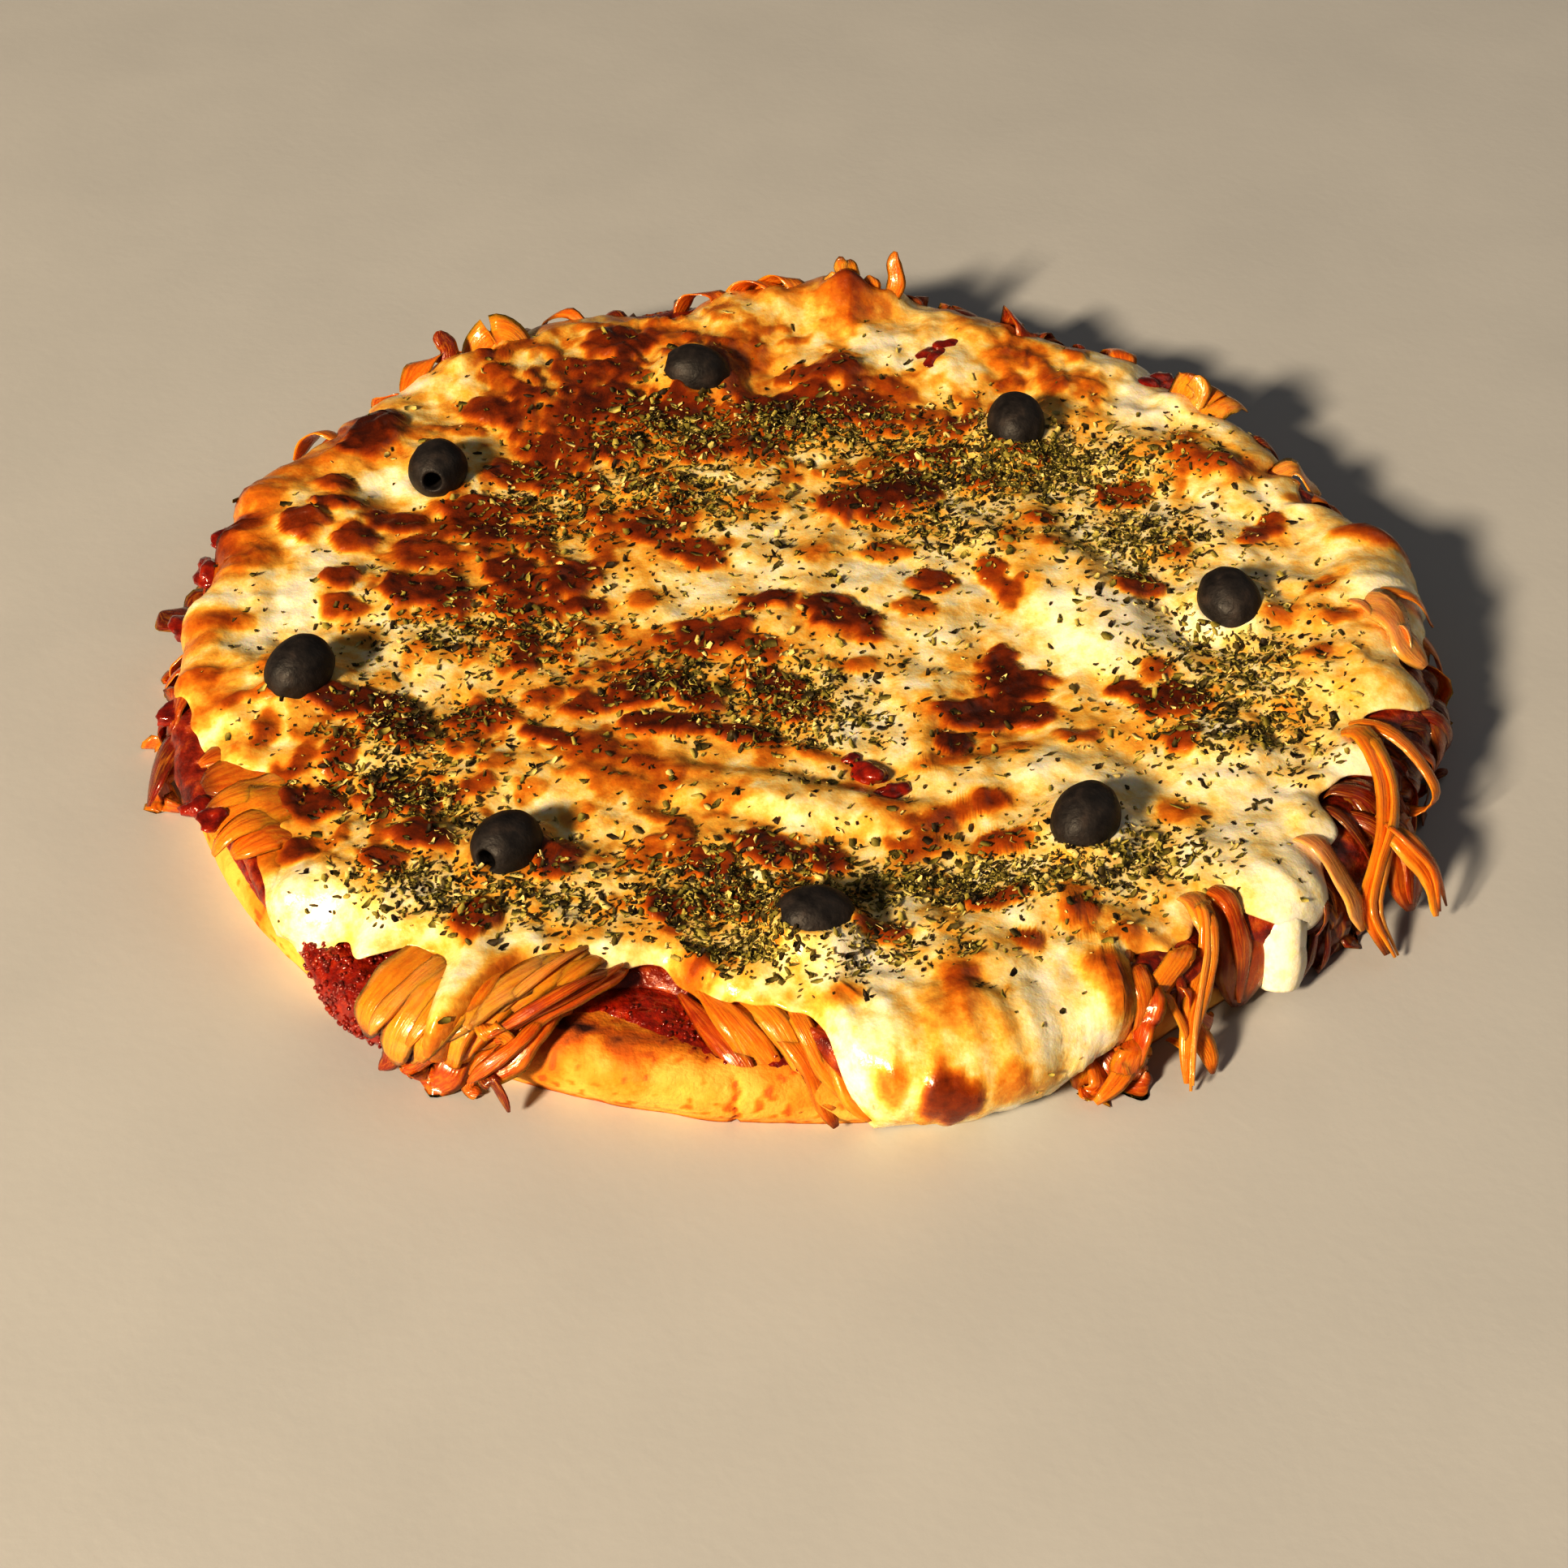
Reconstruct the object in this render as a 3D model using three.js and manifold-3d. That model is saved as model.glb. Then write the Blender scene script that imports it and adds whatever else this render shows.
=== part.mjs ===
// A fugazzeta: a thick round onion pizza. A dough base carries tomato sauce, a heap of soft onion
// strips and a blanket of melted cheese, with eight black olives and dried oregano on top.
// Millimetres, +Z up, origin at the centre of the dough's flat underside. -Y is the front.

import * as THREE from "three";
import { mergeVertices } from "three/addons/utils/BufferGeometryUtils.js";
import Module from "manifold-3d";

const wasm = await Module();
wasm.setup();

// Driving dimensions
const CRUST_RADIUS = 150;
const CRUST_HEIGHT = 14;
const SHOULDER = 8; // radius of the rounding from the dough's top to its side
const SAUCE_THICKNESS = 1.6;
const ONION_THICKNESS = 3.8;
const ONION_RIM_EXTRA = 3; // the heap is thicker by this near the rim
const CHEESE_THICKNESS = 4.2;
const OLIVE_LENGTH = 19;
const OLIVE_DIAMETER = 15.5;
const OLIVE_SUNK = 2.8; // depth of an olive's underside in the cheese
const PIT_HOLE_RADIUS = 2.9;
const PIT_HOLE_DEPTH = 9;
const STRIP_LENGTH = 30; // of an onion strip, past the heap it grows out of
const STRIP_WIDTH = 6.5;
const STRIP_THICKNESS = 1.8;
const FLAKE_LENGTH = 3.2; // of an oregano flake
const GAP = 0.35; // clearance between neighbouring pieces

// Fineness of the faceted solids
const CRUST_SEGMENTS = 48;
const SAUCE_DETAIL = 8;
const ONION_DETAIL = 7;
const CHEESE_DETAIL = 15;
const OLIVE_SEGMENTS = 10;
const STRIP_STEPS = 5;
const FLAKE_COUNT = 60;

// How far each layer runs past the start of the shoulder, and the lobes where it runs further or
// less far: at and width are degrees round the rim, by is millimetres.
const SAUCE_EDGE = {
  reach: 6,
  lobes: [
    { at: 232, width: 9, by: 14 }, // spills out at the front left
    { at: 253, width: 8, by: -12 }, // bare dough at the front
    { at: 313, width: 4, by: 9 },
    { at: 174, width: 6, by: 6 },
    { at: 194, width: 5, by: 6 },
  ],
};
const ONION_EDGE = {
  reach: 11,
  lobes: [
    { at: 257, width: 12, by: -24 },
    { at: 238, width: 6, by: 5 },
    { at: 226, width: 5, by: -7 },
    { at: 345, width: 22, by: 4 },
    { at: 312, width: 4, by: -6 },
    { at: 172, width: 7, by: -5 },
  ],
};
const CHEESE_EDGE = {
  reach: 5.5,
  lobes: [
    { at: 284, width: 10, by: 28 }, // flows right down to the foot of the dough
    { at: 216, width: 7, by: 8 },
    { at: 256, width: 13, by: -18 },
    { at: 235, width: 6, by: -7 },
    { at: 301, width: 5, by: -5 },
    { at: 342, width: 14, by: -5 },
  ],
};
// One long drip of cheese
const DRIP = { at: 317.5, width: 11, thickness: 3.6, reach: 17 };
// Where the sauce and the onion heap swell outwards past the dough's side
const SAUCE_SPILL = { at: 233, width: 10, by: 5 };
const ONION_BULGE = { at: 352, width: 26, by: 5 };

// Browned blisters of the cheese: place, radius and height.
const BLISTERS = [
  { x: 26, y: 50, radius: 15, height: 2.6 },
  { x: -108, y: 76, radius: 13, height: 3.2 },
  { x: -8, y: -4, radius: 15, height: 2.2 },
  { x: 12, y: 102, radius: 14, height: 2.2 },
  { x: -60, y: 92, radius: 20, height: 2.4 },
  { x: -95, y: 22, radius: 18, height: 2.0 },
  { x: -62, y: 12, radius: 12, height: 2.0 },
  { x: -22, y: -40, radius: 15, height: 2.2 },
  { x: -95, y: -42, radius: 14, height: 2.4 },
  { x: -90, y: -78, radius: 14, height: 2.0 },
  { x: -10, y: -88, radius: 14, height: 2.2 },
  { x: 110, y: 60, radius: 12, height: 2.0 },
  { x: 88, y: -33, radius: 10, height: 1.6 },
];
// Long folds of the cheese: middle, heading in degrees, half length, half width and height.
const FOLDS = [
  { x: 73, y: 8, heading: -52, length: 34, width: 11, height: 3.0 },
  { x: 2, y: -68, heading: -14, length: 34, width: 7, height: 3.2 },
  { x: 52, y: -30, heading: 70, length: 24, width: 13, height: -3.0 },
  { x: 40, y: -62, heading: 20, length: 26, width: 8, height: 2.2 },
];

// Olives: place, and the heading of the pitted end in degrees.
const OLIVES = [
  { x: -25, y: 103, heading: 172 },
  { x: 61, y: 75, heading: 95 },
  { x: 110, y: 1, heading: 110 },
  { x: 68, y: -80, heading: 62 },
  { x: 6, y: -113, heading: 190 },
  { x: -64, y: -87, heading: 240 },
  { x: -118, y: -28, heading: 55 },
  { x: -92, y: 57, heading: 266 },
];

// Where oregano lies thickest: middle, spread and share of the flakes.
const OREGANO_DRIFTS = [
  { x: -25, y: 72, spread: 34, share: 0.22 },
  { x: 68, y: 55, spread: 22, share: 0.2 },
  { x: -15, y: -104, spread: 22, share: 0.16 },
  { x: 55, y: -95, spread: 24, share: 0.14 },
  { x: -90, y: -50, spread: 24, share: 0.1 },
  { x: 105, y: -35, spread: 20, share: 0.08 },
  { x: 0, y: -10, spread: 60, share: 0.1 },
];

// Stretches of the rim with onion strips, in degrees: thickest at the right, and none over the bare
// dough and the front flow of cheese.
const STRIP_STRETCHES = [
  { from: 294, to: 384, hanging: 10, lying: 4 },
  { from: 384, to: 604, hanging: 11, lying: 5 },
];
// Onion tips that stand up out of the rim
const TIPS = [
  { at: 44, rise: 22 },
  { at: 80, rise: 26 },
  { at: 85, rise: 24 },
  { at: 124, rise: 18 },
];

const BURIED = 3; // how far inside the dough a layer's underside starts, before it is cut
const EDGE_ROUNDING = 3; // length over which a layer's edge turns down
const EDGE_BAND = 0.09; // half height of the ball's band that becomes the edge
const SEED = 7;
const { degToRad, smoothstep } = THREE.MathUtils;

// A repeatable random number from 0 to 1
let state = SEED;
function random() {
  state = (state * 1664525 + 1013904223) % 4294967296;
  return state / 4294967296;
}
const between = (low, high) => low + (high - low) * random();

// 1 at an angle of the rim, falling to 0 on either side
function near(angle, at, width) {
  const off = angle - degToRad(at);
  const nearest = Math.atan2(Math.sin(off), Math.cos(off));
  return Math.exp(-((nearest / degToRad(width)) ** 2));
}

// The dough's outline is a little out of round.
function crustRadius(angle) {
  return CRUST_RADIUS + 1.6 * Math.sin(3 * angle + 2.9) + 0.8 * Math.sin(5 * angle + 2);
}
const shoulderStart = (angle) => crustRadius(angle) - SHOULDER;

// How far a layer runs past the start of the shoulder, at most to just above the foot of the dough
function reach(edge, angle) {
  const wobble = 1.6 * Math.sin(9 * angle + 1) + 1.2 * Math.sin(17 * angle + edge.reach);
  let wanted = edge.reach + wobble;
  for (const { at, width, by } of edge.lobes) wanted += by * near(angle, at, width);
  return Math.min(wanted, (SHOULDER * Math.PI) / 2 + CRUST_HEIGHT - SHOULDER - 0.6);
}

// The point of the dough's skin at a distance along it from the axis, lifted off it by lift.
function skin(angle, along, lift) {
  const start = shoulderStart(angle);
  const bend = THREE.MathUtils.clamp((along - start) / SHOULDER, 0, Math.PI / 2);
  const down = Math.max(0, along - start - (SHOULDER * Math.PI) / 2);
  const radius = Math.min(along, start) + (SHOULDER + lift) * Math.sin(bend);
  const height = CRUST_HEIGHT - SHOULDER + (SHOULDER + lift) * Math.cos(bend) - down;
  return new THREE.Vector3(radius * Math.cos(angle), radius * Math.sin(angle), height);
}

// Relief of the cheese, from its slow swell, blisters and folds.
function cheeseRelief(x, y) {
  let height = 0.9 * Math.sin(x / 17 + 0.6) * Math.cos(y / 21) + 0.6 * Math.sin((x - y) / 12 + 2);
  for (const b of BLISTERS) {
    const away = Math.hypot(x - b.x, y - b.y) / b.radius;
    height += b.height * Math.exp(-2 * away ** 2);
  }
  for (const f of FOLDS) {
    const turn = degToRad(f.heading);
    const along = (x - f.x) * Math.cos(turn) + (y - f.y) * Math.sin(turn);
    const across = (y - f.y) * Math.cos(turn) - (x - f.x) * Math.sin(turn);
    height += f.height * Math.exp(-((along / f.length) ** 2) - (across / f.width) ** 2);
  }
  return height;
}

const layerEnd = (edge, angle) => shoulderStart(angle) + reach(edge, angle);

// Share of its thickness that a layer keeps towards its end
const thinned = (edge, angle, along, over) => {
  const end = layerEnd(edge, angle);
  return 1 - 0.6 * smoothstep(along, end - over, end) - 0.4 * smoothstep(along, end, end + 1);
};

// Lift of each layer's top over the dough's skin
function sauceLift(angle, along) {
  const { at, width, by } = SAUCE_SPILL;
  const start = shoulderStart(angle);
  const spill = by * near(angle, at, width) * smoothstep(along, start, start + 10);
  return (SAUCE_THICKNESS + spill) * thinned(SAUCE_EDGE, angle, along, 4);
}

function onionLift(angle, along) {
  const lumps = 0.8 * Math.sin(11 * angle + along / 9) + 0.5 * Math.sin(23 * angle);
  const rim = ONION_RIM_EXTRA * smoothstep(along, 95, 135);
  const { at, width, by } = ONION_BULGE;
  const bulge = by * near(angle, at, width) * smoothstep(along, 132, 148);
  const onions = (ONION_THICKNESS + rim + bulge + lumps) * thinned(ONION_EDGE, angle, along, 6);
  return sauceLift(angle, along) + onions;
}

function cheeseLift(angle, along) {
  const end = layerEnd(CHEESE_EDGE, angle);
  const relief = cheeseRelief(along * Math.cos(angle), along * Math.sin(angle));
  const fade = 1 - smoothstep(along, end - 22, end);
  const cheese = CHEESE_THICKNESS * thinned(CHEESE_EDGE, angle, along, 8);
  return onionLift(angle, along) + cheese + relief * fade;
}

// Solids

function solid(geometry) {
  const bare = geometry.clone();
  bare.deleteAttribute("normal");
  bare.deleteAttribute("uv");
  const merged = mergeVertices(bare, 1e-3);
  const vertProperties = merged.attributes.position.array;
  const triVerts = new Uint32Array(merged.index.array);
  return new wasm.Manifold(new wasm.Mesh({ numProp: 3, vertProperties, triVerts }));
}

// Moves every vertex of a geometry to where place puts it.
function reshaped(geometry, place) {
  const { position } = geometry.attributes;
  const vertex = new THREE.Vector3();
  for (let i = 0; i < position.count; i++) {
    const { x, y, z } = place(vertex.fromBufferAttribute(position, i));
    position.setXYZ(i, x, y, z);
  }
  return geometry;
}

const largest = (body) => body.decompose().reduce((a, b) => (b.volume() > a.volume() ? b : a));

// The dough: a flat-bottomed lathe form with a tucked-in foot and a bulging bare lip at the front.
function crust(grow) {
  const arc = (SHOULDER * Math.PI) / 2;
  const side = CRUST_HEIGHT - SHOULDER;
  const rows = [0, arc * 0.3, arc * 0.55, arc * 0.8, arc + side * 0.4, arc + side];
  const profile = [[0, rows.length], ...rows.map((_, row) => [1, row]).reverse(), [0, -1]];
  const lathe = new THREE.LatheGeometry(profile.map(([x, y]) => new THREE.Vector2(x, y)), CRUST_SEGMENTS);
  lathe.rotateX(Math.PI / 2);
  return solid(
    reshaped(lathe, (p) => {
      const row = Math.round(p.z);
      const angle = Math.atan2(p.y, p.x);
      if (row < 0) return new THREE.Vector3(0, 0, CRUST_HEIGHT + grow);
      if (row === rows.length) return new THREE.Vector3(0, 0, -grow);
      const tuck = row === rows.length - 1 ? -2 : 0;
      const lip = 2.2 * near(angle, 256, 14) * Math.exp(-(((rows[row] - 4) / 9) ** 2));
      const point = skin(angle, shoulderStart(angle) + rows[row], tuck + lip + grow);
      if (row === rows.length - 1) point.z = -grow;
      return point;
    }),
  );
}

// A layer over the dough: a ball pressed flat. Its upper half is the layer's top, a band round its
// equator turns down as the layer's edge, and its lower half lies inside the dough, to be cut off.
function blanket(detail, edge, liftAt, grow) {
  return solid(
    reshaped(new THREE.IcosahedronGeometry(1, detail), (p) => {
      const angle = Math.atan2(p.y, p.x);
      const end = layerEnd(edge, angle);
      const share = Math.min(1, Math.sqrt((1 - Math.abs(p.z)) / (1 - EDGE_BAND)));
      const turn = (Math.PI / 2) * THREE.MathUtils.clamp(p.z / EDGE_BAND, -1, 1);
      const along = share * (end - EDGE_ROUNDING) + EDGE_ROUNDING * Math.cos(turn);
      const top = liftAt(angle, along) + grow;
      const lift = THREE.MathUtils.lerp(-BURIED, top, (1 + Math.sin(turn)) / 2);
      const point = skin(angle, along + grow * share ** 8, lift);
      point.z = Math.max(point.z, GAP);
      return point;
    }),
  );
}

// A strip: a thin box bent along a path that gives the point at a share u of its length. It narrows
// from its middle to its far end.
function strip({ path, width, thickness }) {
  return solid(
    reshaped(new THREE.BoxGeometry(1, 1, 1, STRIP_STEPS, 1, 1), (p) => {
      const u = p.x + 0.5;
      const centre = path(u);
      const ahead = path(u + 0.02).sub(path(u - 0.02)).normalize();
      const outward = new THREE.Vector3(centre.x, centre.y, Math.hypot(centre.x, centre.y));
      const across = outward.cross(ahead).normalize();
      const up = ahead.clone().cross(across);
      const taper = Math.sin(Math.PI * (0.2 + 0.7 * u));
      centre.addScaledVector(across, p.y * width * taper).addScaledVector(up, p.z * thickness);
      centre.z = Math.max(centre.z, GAP + 0.6 * (p.z + 0.5));
      return centre;
    }),
  );
}

// A strip that hangs from under the cheese over the rim
function hangingStrip(at) {
  const lean = between(-14, 14) / CRUST_RADIUS;
  const length = between(0.7, 1) * STRIP_LENGTH;
  const bulge = between(0.5, 4);
  const path = (u) => {
    const angle = degToRad(at) + lean * u;
    const along = layerEnd(CHEESE_EDGE, angle) - 6 + length * u;
    const off = -2 + 3.6 * smoothstep(u, 0.25, 0.5) + bulge * Math.sin(Math.PI * smoothstep(u, 0.25, 1));
    return skin(angle, along, onionLift(angle, along) + off);
  };
  return { path, width: STRIP_WIDTH * between(0.75, 1.2), thickness: STRIP_THICKNESS };
}

// A strip that lies along the rim, both ends in the heap
function lyingStrip(at) {
  const spread = between(14, 20) / CRUST_RADIUS;
  const low = between(5, 8);
  const bow = between(2, 5);
  const path = (u) => {
    const angle = degToRad(at) + spread * (u - 0.5) * 2;
    const along = layerEnd(CHEESE_EDGE, angle) + low + 5 * u;
    return skin(angle, along, onionLift(angle, along) - 1.2 + bow * Math.sin(Math.PI * u));
  };
  return { path, width: STRIP_WIDTH * between(0.7, 1), thickness: STRIP_THICKNESS };
}

// A strip whose tip stands up out of the rim
function standingStrip({ at, rise }) {
  const angle = degToRad(at);
  const along = layerEnd(CHEESE_EDGE, angle) + 5;
  const foot = skin(angle, along, onionLift(angle, along) - 2);
  const path = (u) => {
    const point = foot.clone().multiplyScalar(1 + 0.02 * u);
    return point.setZ(foot.z + rise * u);
  };
  return { path, width: STRIP_WIDTH, thickness: STRIP_THICKNESS };
}

// The long drip of cheese
function drip() {
  const angle = degToRad(DRIP.at);
  const top = layerEnd(CHEESE_EDGE, angle) - 8;
  const path = (u) => {
    const along = THREE.MathUtils.lerp(top, shoulderStart(angle) + DRIP.reach, u);
    return skin(angle, along, onionLift(angle, along) + DRIP.thickness / 2 + GAP);
  };
  return strip({ path, width: DRIP.width, thickness: DRIP.thickness });
}

// The strips of every stretch, evenly spaced with a little play
function onionStrips() {
  const made = TIPS.map(standingStrip);
  for (const { from, to, hanging, lying } of STRIP_STRETCHES) {
    const spaced = (count, i) => from + ((to - from) * (i + between(0.2, 0.8))) / count;
    for (let i = 0; i < hanging; i++) made.push(hangingStrip(spaced(hanging, i)));
    for (let i = 0; i < lying; i++) made.push(lyingStrip(spaced(lying, i)));
  }
  return made.map(strip);
}

// An olive about its own axis, pitted end up: with its hole, or grown and whole as the socket it sits in.
function olive(grow, pitted) {
  const profile = [];
  const stops = 6;
  for (let i = 0; i <= stops; i++) {
    const turn = -Math.PI / 2 + (Math.PI * i) / stops;
    const radius = (OLIVE_DIAMETER / 2 + grow) * Math.cos(turn);
    const height = (OLIVE_LENGTH / 2 + grow) * Math.sin(turn);
    if (pitted && i === stops) {
      const mouth = (OLIVE_LENGTH / 2) * Math.sqrt(1 - ((2 * PIT_HOLE_RADIUS) / OLIVE_DIAMETER) ** 2);
      const floor = mouth - PIT_HOLE_DEPTH;
      profile.push([PIT_HOLE_RADIUS, mouth], [PIT_HOLE_RADIUS * 0.8, floor], [0, floor]);
    } else {
      profile.push([Math.abs(radius) < 1e-6 ? 0 : radius, height]);
    }
  }
  return new THREE.LatheGeometry(profile.map(([x, y]) => new THREE.Vector2(x, y)), OLIVE_SEGMENTS);
}

// Height of the cheese over a point of the top
function cheeseHeight(x, y) {
  return CRUST_HEIGHT + cheeseLift(Math.atan2(y, x), Math.hypot(x, y));
}

function placeOlive(geometry, { x, y, heading }) {
  geometry.rotateZ(-Math.PI / 2); // the pitted end now points along +X
  geometry.rotateZ(degToRad(heading));
  geometry.translate(x, y, cheeseHeight(x, y) + OLIVE_DIAMETER / 2 - OLIVE_SUNK);
  return geometry;
}

// Oregano flakes: flat octahedra half sunk in the cheese, clear of the olives.
function flakes() {
  const made = [];
  const total = OREGANO_DRIFTS.reduce((sum, drift) => sum + drift.share, 0);
  for (const drift of OREGANO_DRIFTS) {
    const wanted = Math.round((FLAKE_COUNT * drift.share) / total);
    for (let i = 0; i < wanted; i++) {
      const turn = between(0, 2 * Math.PI);
      const away = drift.spread * Math.sqrt(random());
      const x = drift.x + away * Math.cos(turn);
      const y = drift.y + away * Math.sin(turn);
      const onOlive = OLIVES.some((o) => Math.hypot(x - o.x, y - o.y) < OLIVE_LENGTH / 2 + FLAKE_LENGTH);
      if (onOlive) continue;
      const flake = new THREE.OctahedronGeometry(FLAKE_LENGTH / 2);
      flake.scale(1, 0.5, 0.4);
      flake.rotateZ(between(0, 2 * Math.PI));
      flake.translate(x, y, cheeseHeight(x, y) + 0.1);
      made.push(solid(flake));
    }
  }
  return made;
}

// Assembly

const MATERIALS = {
  crust: { color: 0xe0a94f, roughness: 0.75 },
  sauce: { color: 0x9c1c08, roughness: 0.35 },
  onions: { color: 0xd07a22, roughness: 0.35 },
  cheese: { color: 0xf3d48a, roughness: 0.4 },
  olive: { color: 0x2a2422, roughness: 0.45 },
};

function mesh(name, body, kind) {
  const { vertProperties, triVerts } = body.getMesh();
  const geometry = new THREE.BufferGeometry();
  geometry.setAttribute("position", new THREE.BufferAttribute(vertProperties, 3));
  geometry.setIndex(new THREE.BufferAttribute(triVerts, 1));
  geometry.computeVertexNormals();
  const made = new THREE.Mesh(geometry, new THREE.MeshStandardMaterial({ ...MATERIALS[kind], metalness: 0 }));
  made.name = name;
  return made;
}

const joined = (bodies) => wasm.Manifold.union(bodies);
const heap = (grow) => blanket(ONION_DETAIL, ONION_EDGE, onionLift, grow);
const topping = (grow) => blanket(CHEESE_DETAIL, CHEESE_EDGE, cheeseLift, grow);

const underSauce = crust(GAP);
const underOnions = joined([underSauce, blanket(SAUCE_DETAIL, SAUCE_EDGE, sauceLift, GAP)]);
const sockets = OLIVES.map((place) => solid(placeOlive(olive(GAP, false), place)));
const underCheese = joined([underOnions, heap(GAP), ...sockets]);

const sauce = blanket(SAUCE_DETAIL, SAUCE_EDGE, sauceLift, 0).subtract(underSauce);
const strips = joined(onionStrips()).subtract(topping(GAP));
const onions = joined([heap(0), strips]).subtract(joined([underOnions, sauce]));
const cheese = joined([topping(0), drip(), ...flakes()]).subtract(joined([underCheese, onions]));

const fugazzeta = new THREE.Group();
fugazzeta.add(
  mesh("crust", crust(0), "crust"),
  mesh("sauce", largest(sauce), "sauce"),
  mesh("onions", largest(onions), "onions"),
  mesh("cheese", largest(cheese), "cheese"),
);
OLIVES.forEach((place, i) => {
  fugazzeta.add(mesh(`olive_${i + 1}`, solid(placeOlive(olive(0, true), place)), "olive"));
});

export default fugazzeta;
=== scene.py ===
"""Looks of a fugazzeta, an onion pizza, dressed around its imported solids.

Shapes follow the same rules as the solids. They are worked out in millimetres and turned into metres
when a mesh is made. The origin is the centre of the dough's flat underside, -Y is the front, +Z is up.
A place on a layer is given on its flat pattern: the layer unrolled off the dough's rounded shoulder.
"""

import math

import bpy
import numpy as np
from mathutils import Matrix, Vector, noise


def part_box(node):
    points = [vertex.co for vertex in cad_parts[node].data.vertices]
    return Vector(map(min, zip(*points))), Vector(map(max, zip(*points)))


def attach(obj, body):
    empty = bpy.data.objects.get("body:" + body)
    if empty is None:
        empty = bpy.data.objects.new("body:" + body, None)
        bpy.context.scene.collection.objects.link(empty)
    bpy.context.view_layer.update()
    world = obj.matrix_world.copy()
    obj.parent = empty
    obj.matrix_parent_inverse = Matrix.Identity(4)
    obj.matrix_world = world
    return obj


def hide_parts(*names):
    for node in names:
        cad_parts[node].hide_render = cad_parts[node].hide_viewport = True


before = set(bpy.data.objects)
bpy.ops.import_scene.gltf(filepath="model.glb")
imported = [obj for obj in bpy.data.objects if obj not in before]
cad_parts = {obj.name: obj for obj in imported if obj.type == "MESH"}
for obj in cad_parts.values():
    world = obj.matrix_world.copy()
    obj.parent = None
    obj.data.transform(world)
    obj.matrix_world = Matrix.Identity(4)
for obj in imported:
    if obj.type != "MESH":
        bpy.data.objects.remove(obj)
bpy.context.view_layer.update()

# Driving dimensions of the solids, in millimetres
CRUST_RADIUS = 150
CRUST_HEIGHT = 14
SHOULDER = 8
SAUCE_THICKNESS = 1.6
ONION_THICKNESS = 3.8
ONION_RIM_EXTRA = 3
CHEESE_THICKNESS = 4.2
OLIVE_LENGTH = 19
OLIVE_DIAMETER = 15.5
OLIVE_SETTLED = 1.5
PIT_HOLE_RADIUS = 2.9
PIT_HOLE_DEPTH = 9
PIT_TILT = 14
GAP = 0.35
MM = 0.001
# Length of the dough's side along its skin, from the start of the shoulder to the foot
CRUST_SIDE = SHOULDER * math.pi / 2 + CRUST_HEIGHT - SHOULDER
CHEESE_EDGE_ROUNDING = 2.6
SAUCE_EDGE_ROUNDING = 1.5
CORE_EDGE_ROUNDING = 2

# Places round the rim, in degrees: the front flow, the long drip, and the dough's bare lip with its crack
# and its scorched spot
FLOW_AT = 284
DRIP_AT = 317
LIP_AT = 256
CRACK_AT = 265.5
SCORCH_AT = 252

# Each layer's edge: how far it runs past the start of the shoulder, and lobes (at, width, by) where it
# runs further, with at and width in degrees round the rim.
SAUCE_EDGE = (6, [(232, 9, 14), (253, 8, -12), (313, 4, 9), (174, 6, 6), (194, 5, 6)])
ONION_EDGE = (11, [(257, 12, -24), (238, 6, 5), (226, 5, -7), (345, 22, 4), (312, 4, -6), (172, 7, -5)])
CHEESE_EDGE = (5.5, [
    (FLOW_AT, 10, 28), (216, 7, 8), (LIP_AT, 13, -18), (235, 6, -7), (301, 5, -5), (342, 14, -5),
])
SAUCE_SPILL = (233, 10, 5)
ONION_BULGE = (352, 26, 5)
# Where the visible edge of the cheese draws back or runs on (at, width, by)
CHEESE_NOTCHES = [
    (208, 8, -12), (217, 4, -5), (223, 4, 4), (233, 3.5, 6), (241, 1.8, 8), (272, 4, -10), (298, 4, 7),
    (311.5, 3.5, -5), (319, 4, 2), (329, 5, -2), (341, 9, 4), (2, 14, 6), (165, 20, 4), (190, 6, 3),
]
# Where the cheese sinks at the left, and where its edge stays pale (at, width, by)
LEFT_DIP = (212, 15, -3.2)
PALE_EDGE = [(222, 8, 1), (DRIP_AT, 16, 1), (FLOW_AT, 14, 1), (25, 30, 0.5)]
# Where the soaked onion between the strips, darkened with painted shade, ends short, and how far it sinks
# (at, width, by)
CORE_NOTCHES = [(238, 12, -11), (209, 10, -7), (270, 4, -7), (302, 8, -6), (333, 12, -5)]
CORE_DIPS = [(243, 18, 4), (209, 13, 2)]

# The long drip: points from root to tip, with its width and thickness there
DRIP = [
    (103, -85, 15, 14, 4), (106.5, -93, 19.5, 14.5, 5), (109, -99, 21.7, 13.5, 5),
    (110.5, -104, 19.6, 12.5, 4.4), (111.2, -107, 14, 12, 4), (111.4, -109, 8.5, 11.5, 3.6),
    (111.2, -110, 4, 10, 2.8),
]
DRIP_BEND = 0.5
DRIP_TURN = 0.75
DRIP_BROWNING = 0.02

# Broad blisters (x, y, radius, height) and folds (x, y, heading, length, width, height) of the cheese
BLISTERS = [
    (26, 50, 15, 2.6), (-108, 76, 13, 3.2), (-8, -4, 15, 2.2), (12, 102, 14, 2.2), (-60, 92, 20, 2.4),
    (-95, 22, 18, 2.0), (-62, 12, 12, 2.0), (-22, -40, 15, 2.2), (-95, -42, 14, 2.4), (-90, -78, 14, 2.0),
    (-10, -88, 14, 2.2), (110, 60, 12, 2.0), (88, -33, 10, 1.6), (22, -62, 12, -2.6), (40, -76, 10, -1.6),
]
FOLDS = [
    (73, 8, -58, 34, 13, 4.2), (2, -68, -14, 34, 7, 3.2), (52, -30, 70, 24, 13, -3.0),
    (40, -62, 20, 26, 8, 2.2),
]

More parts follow.
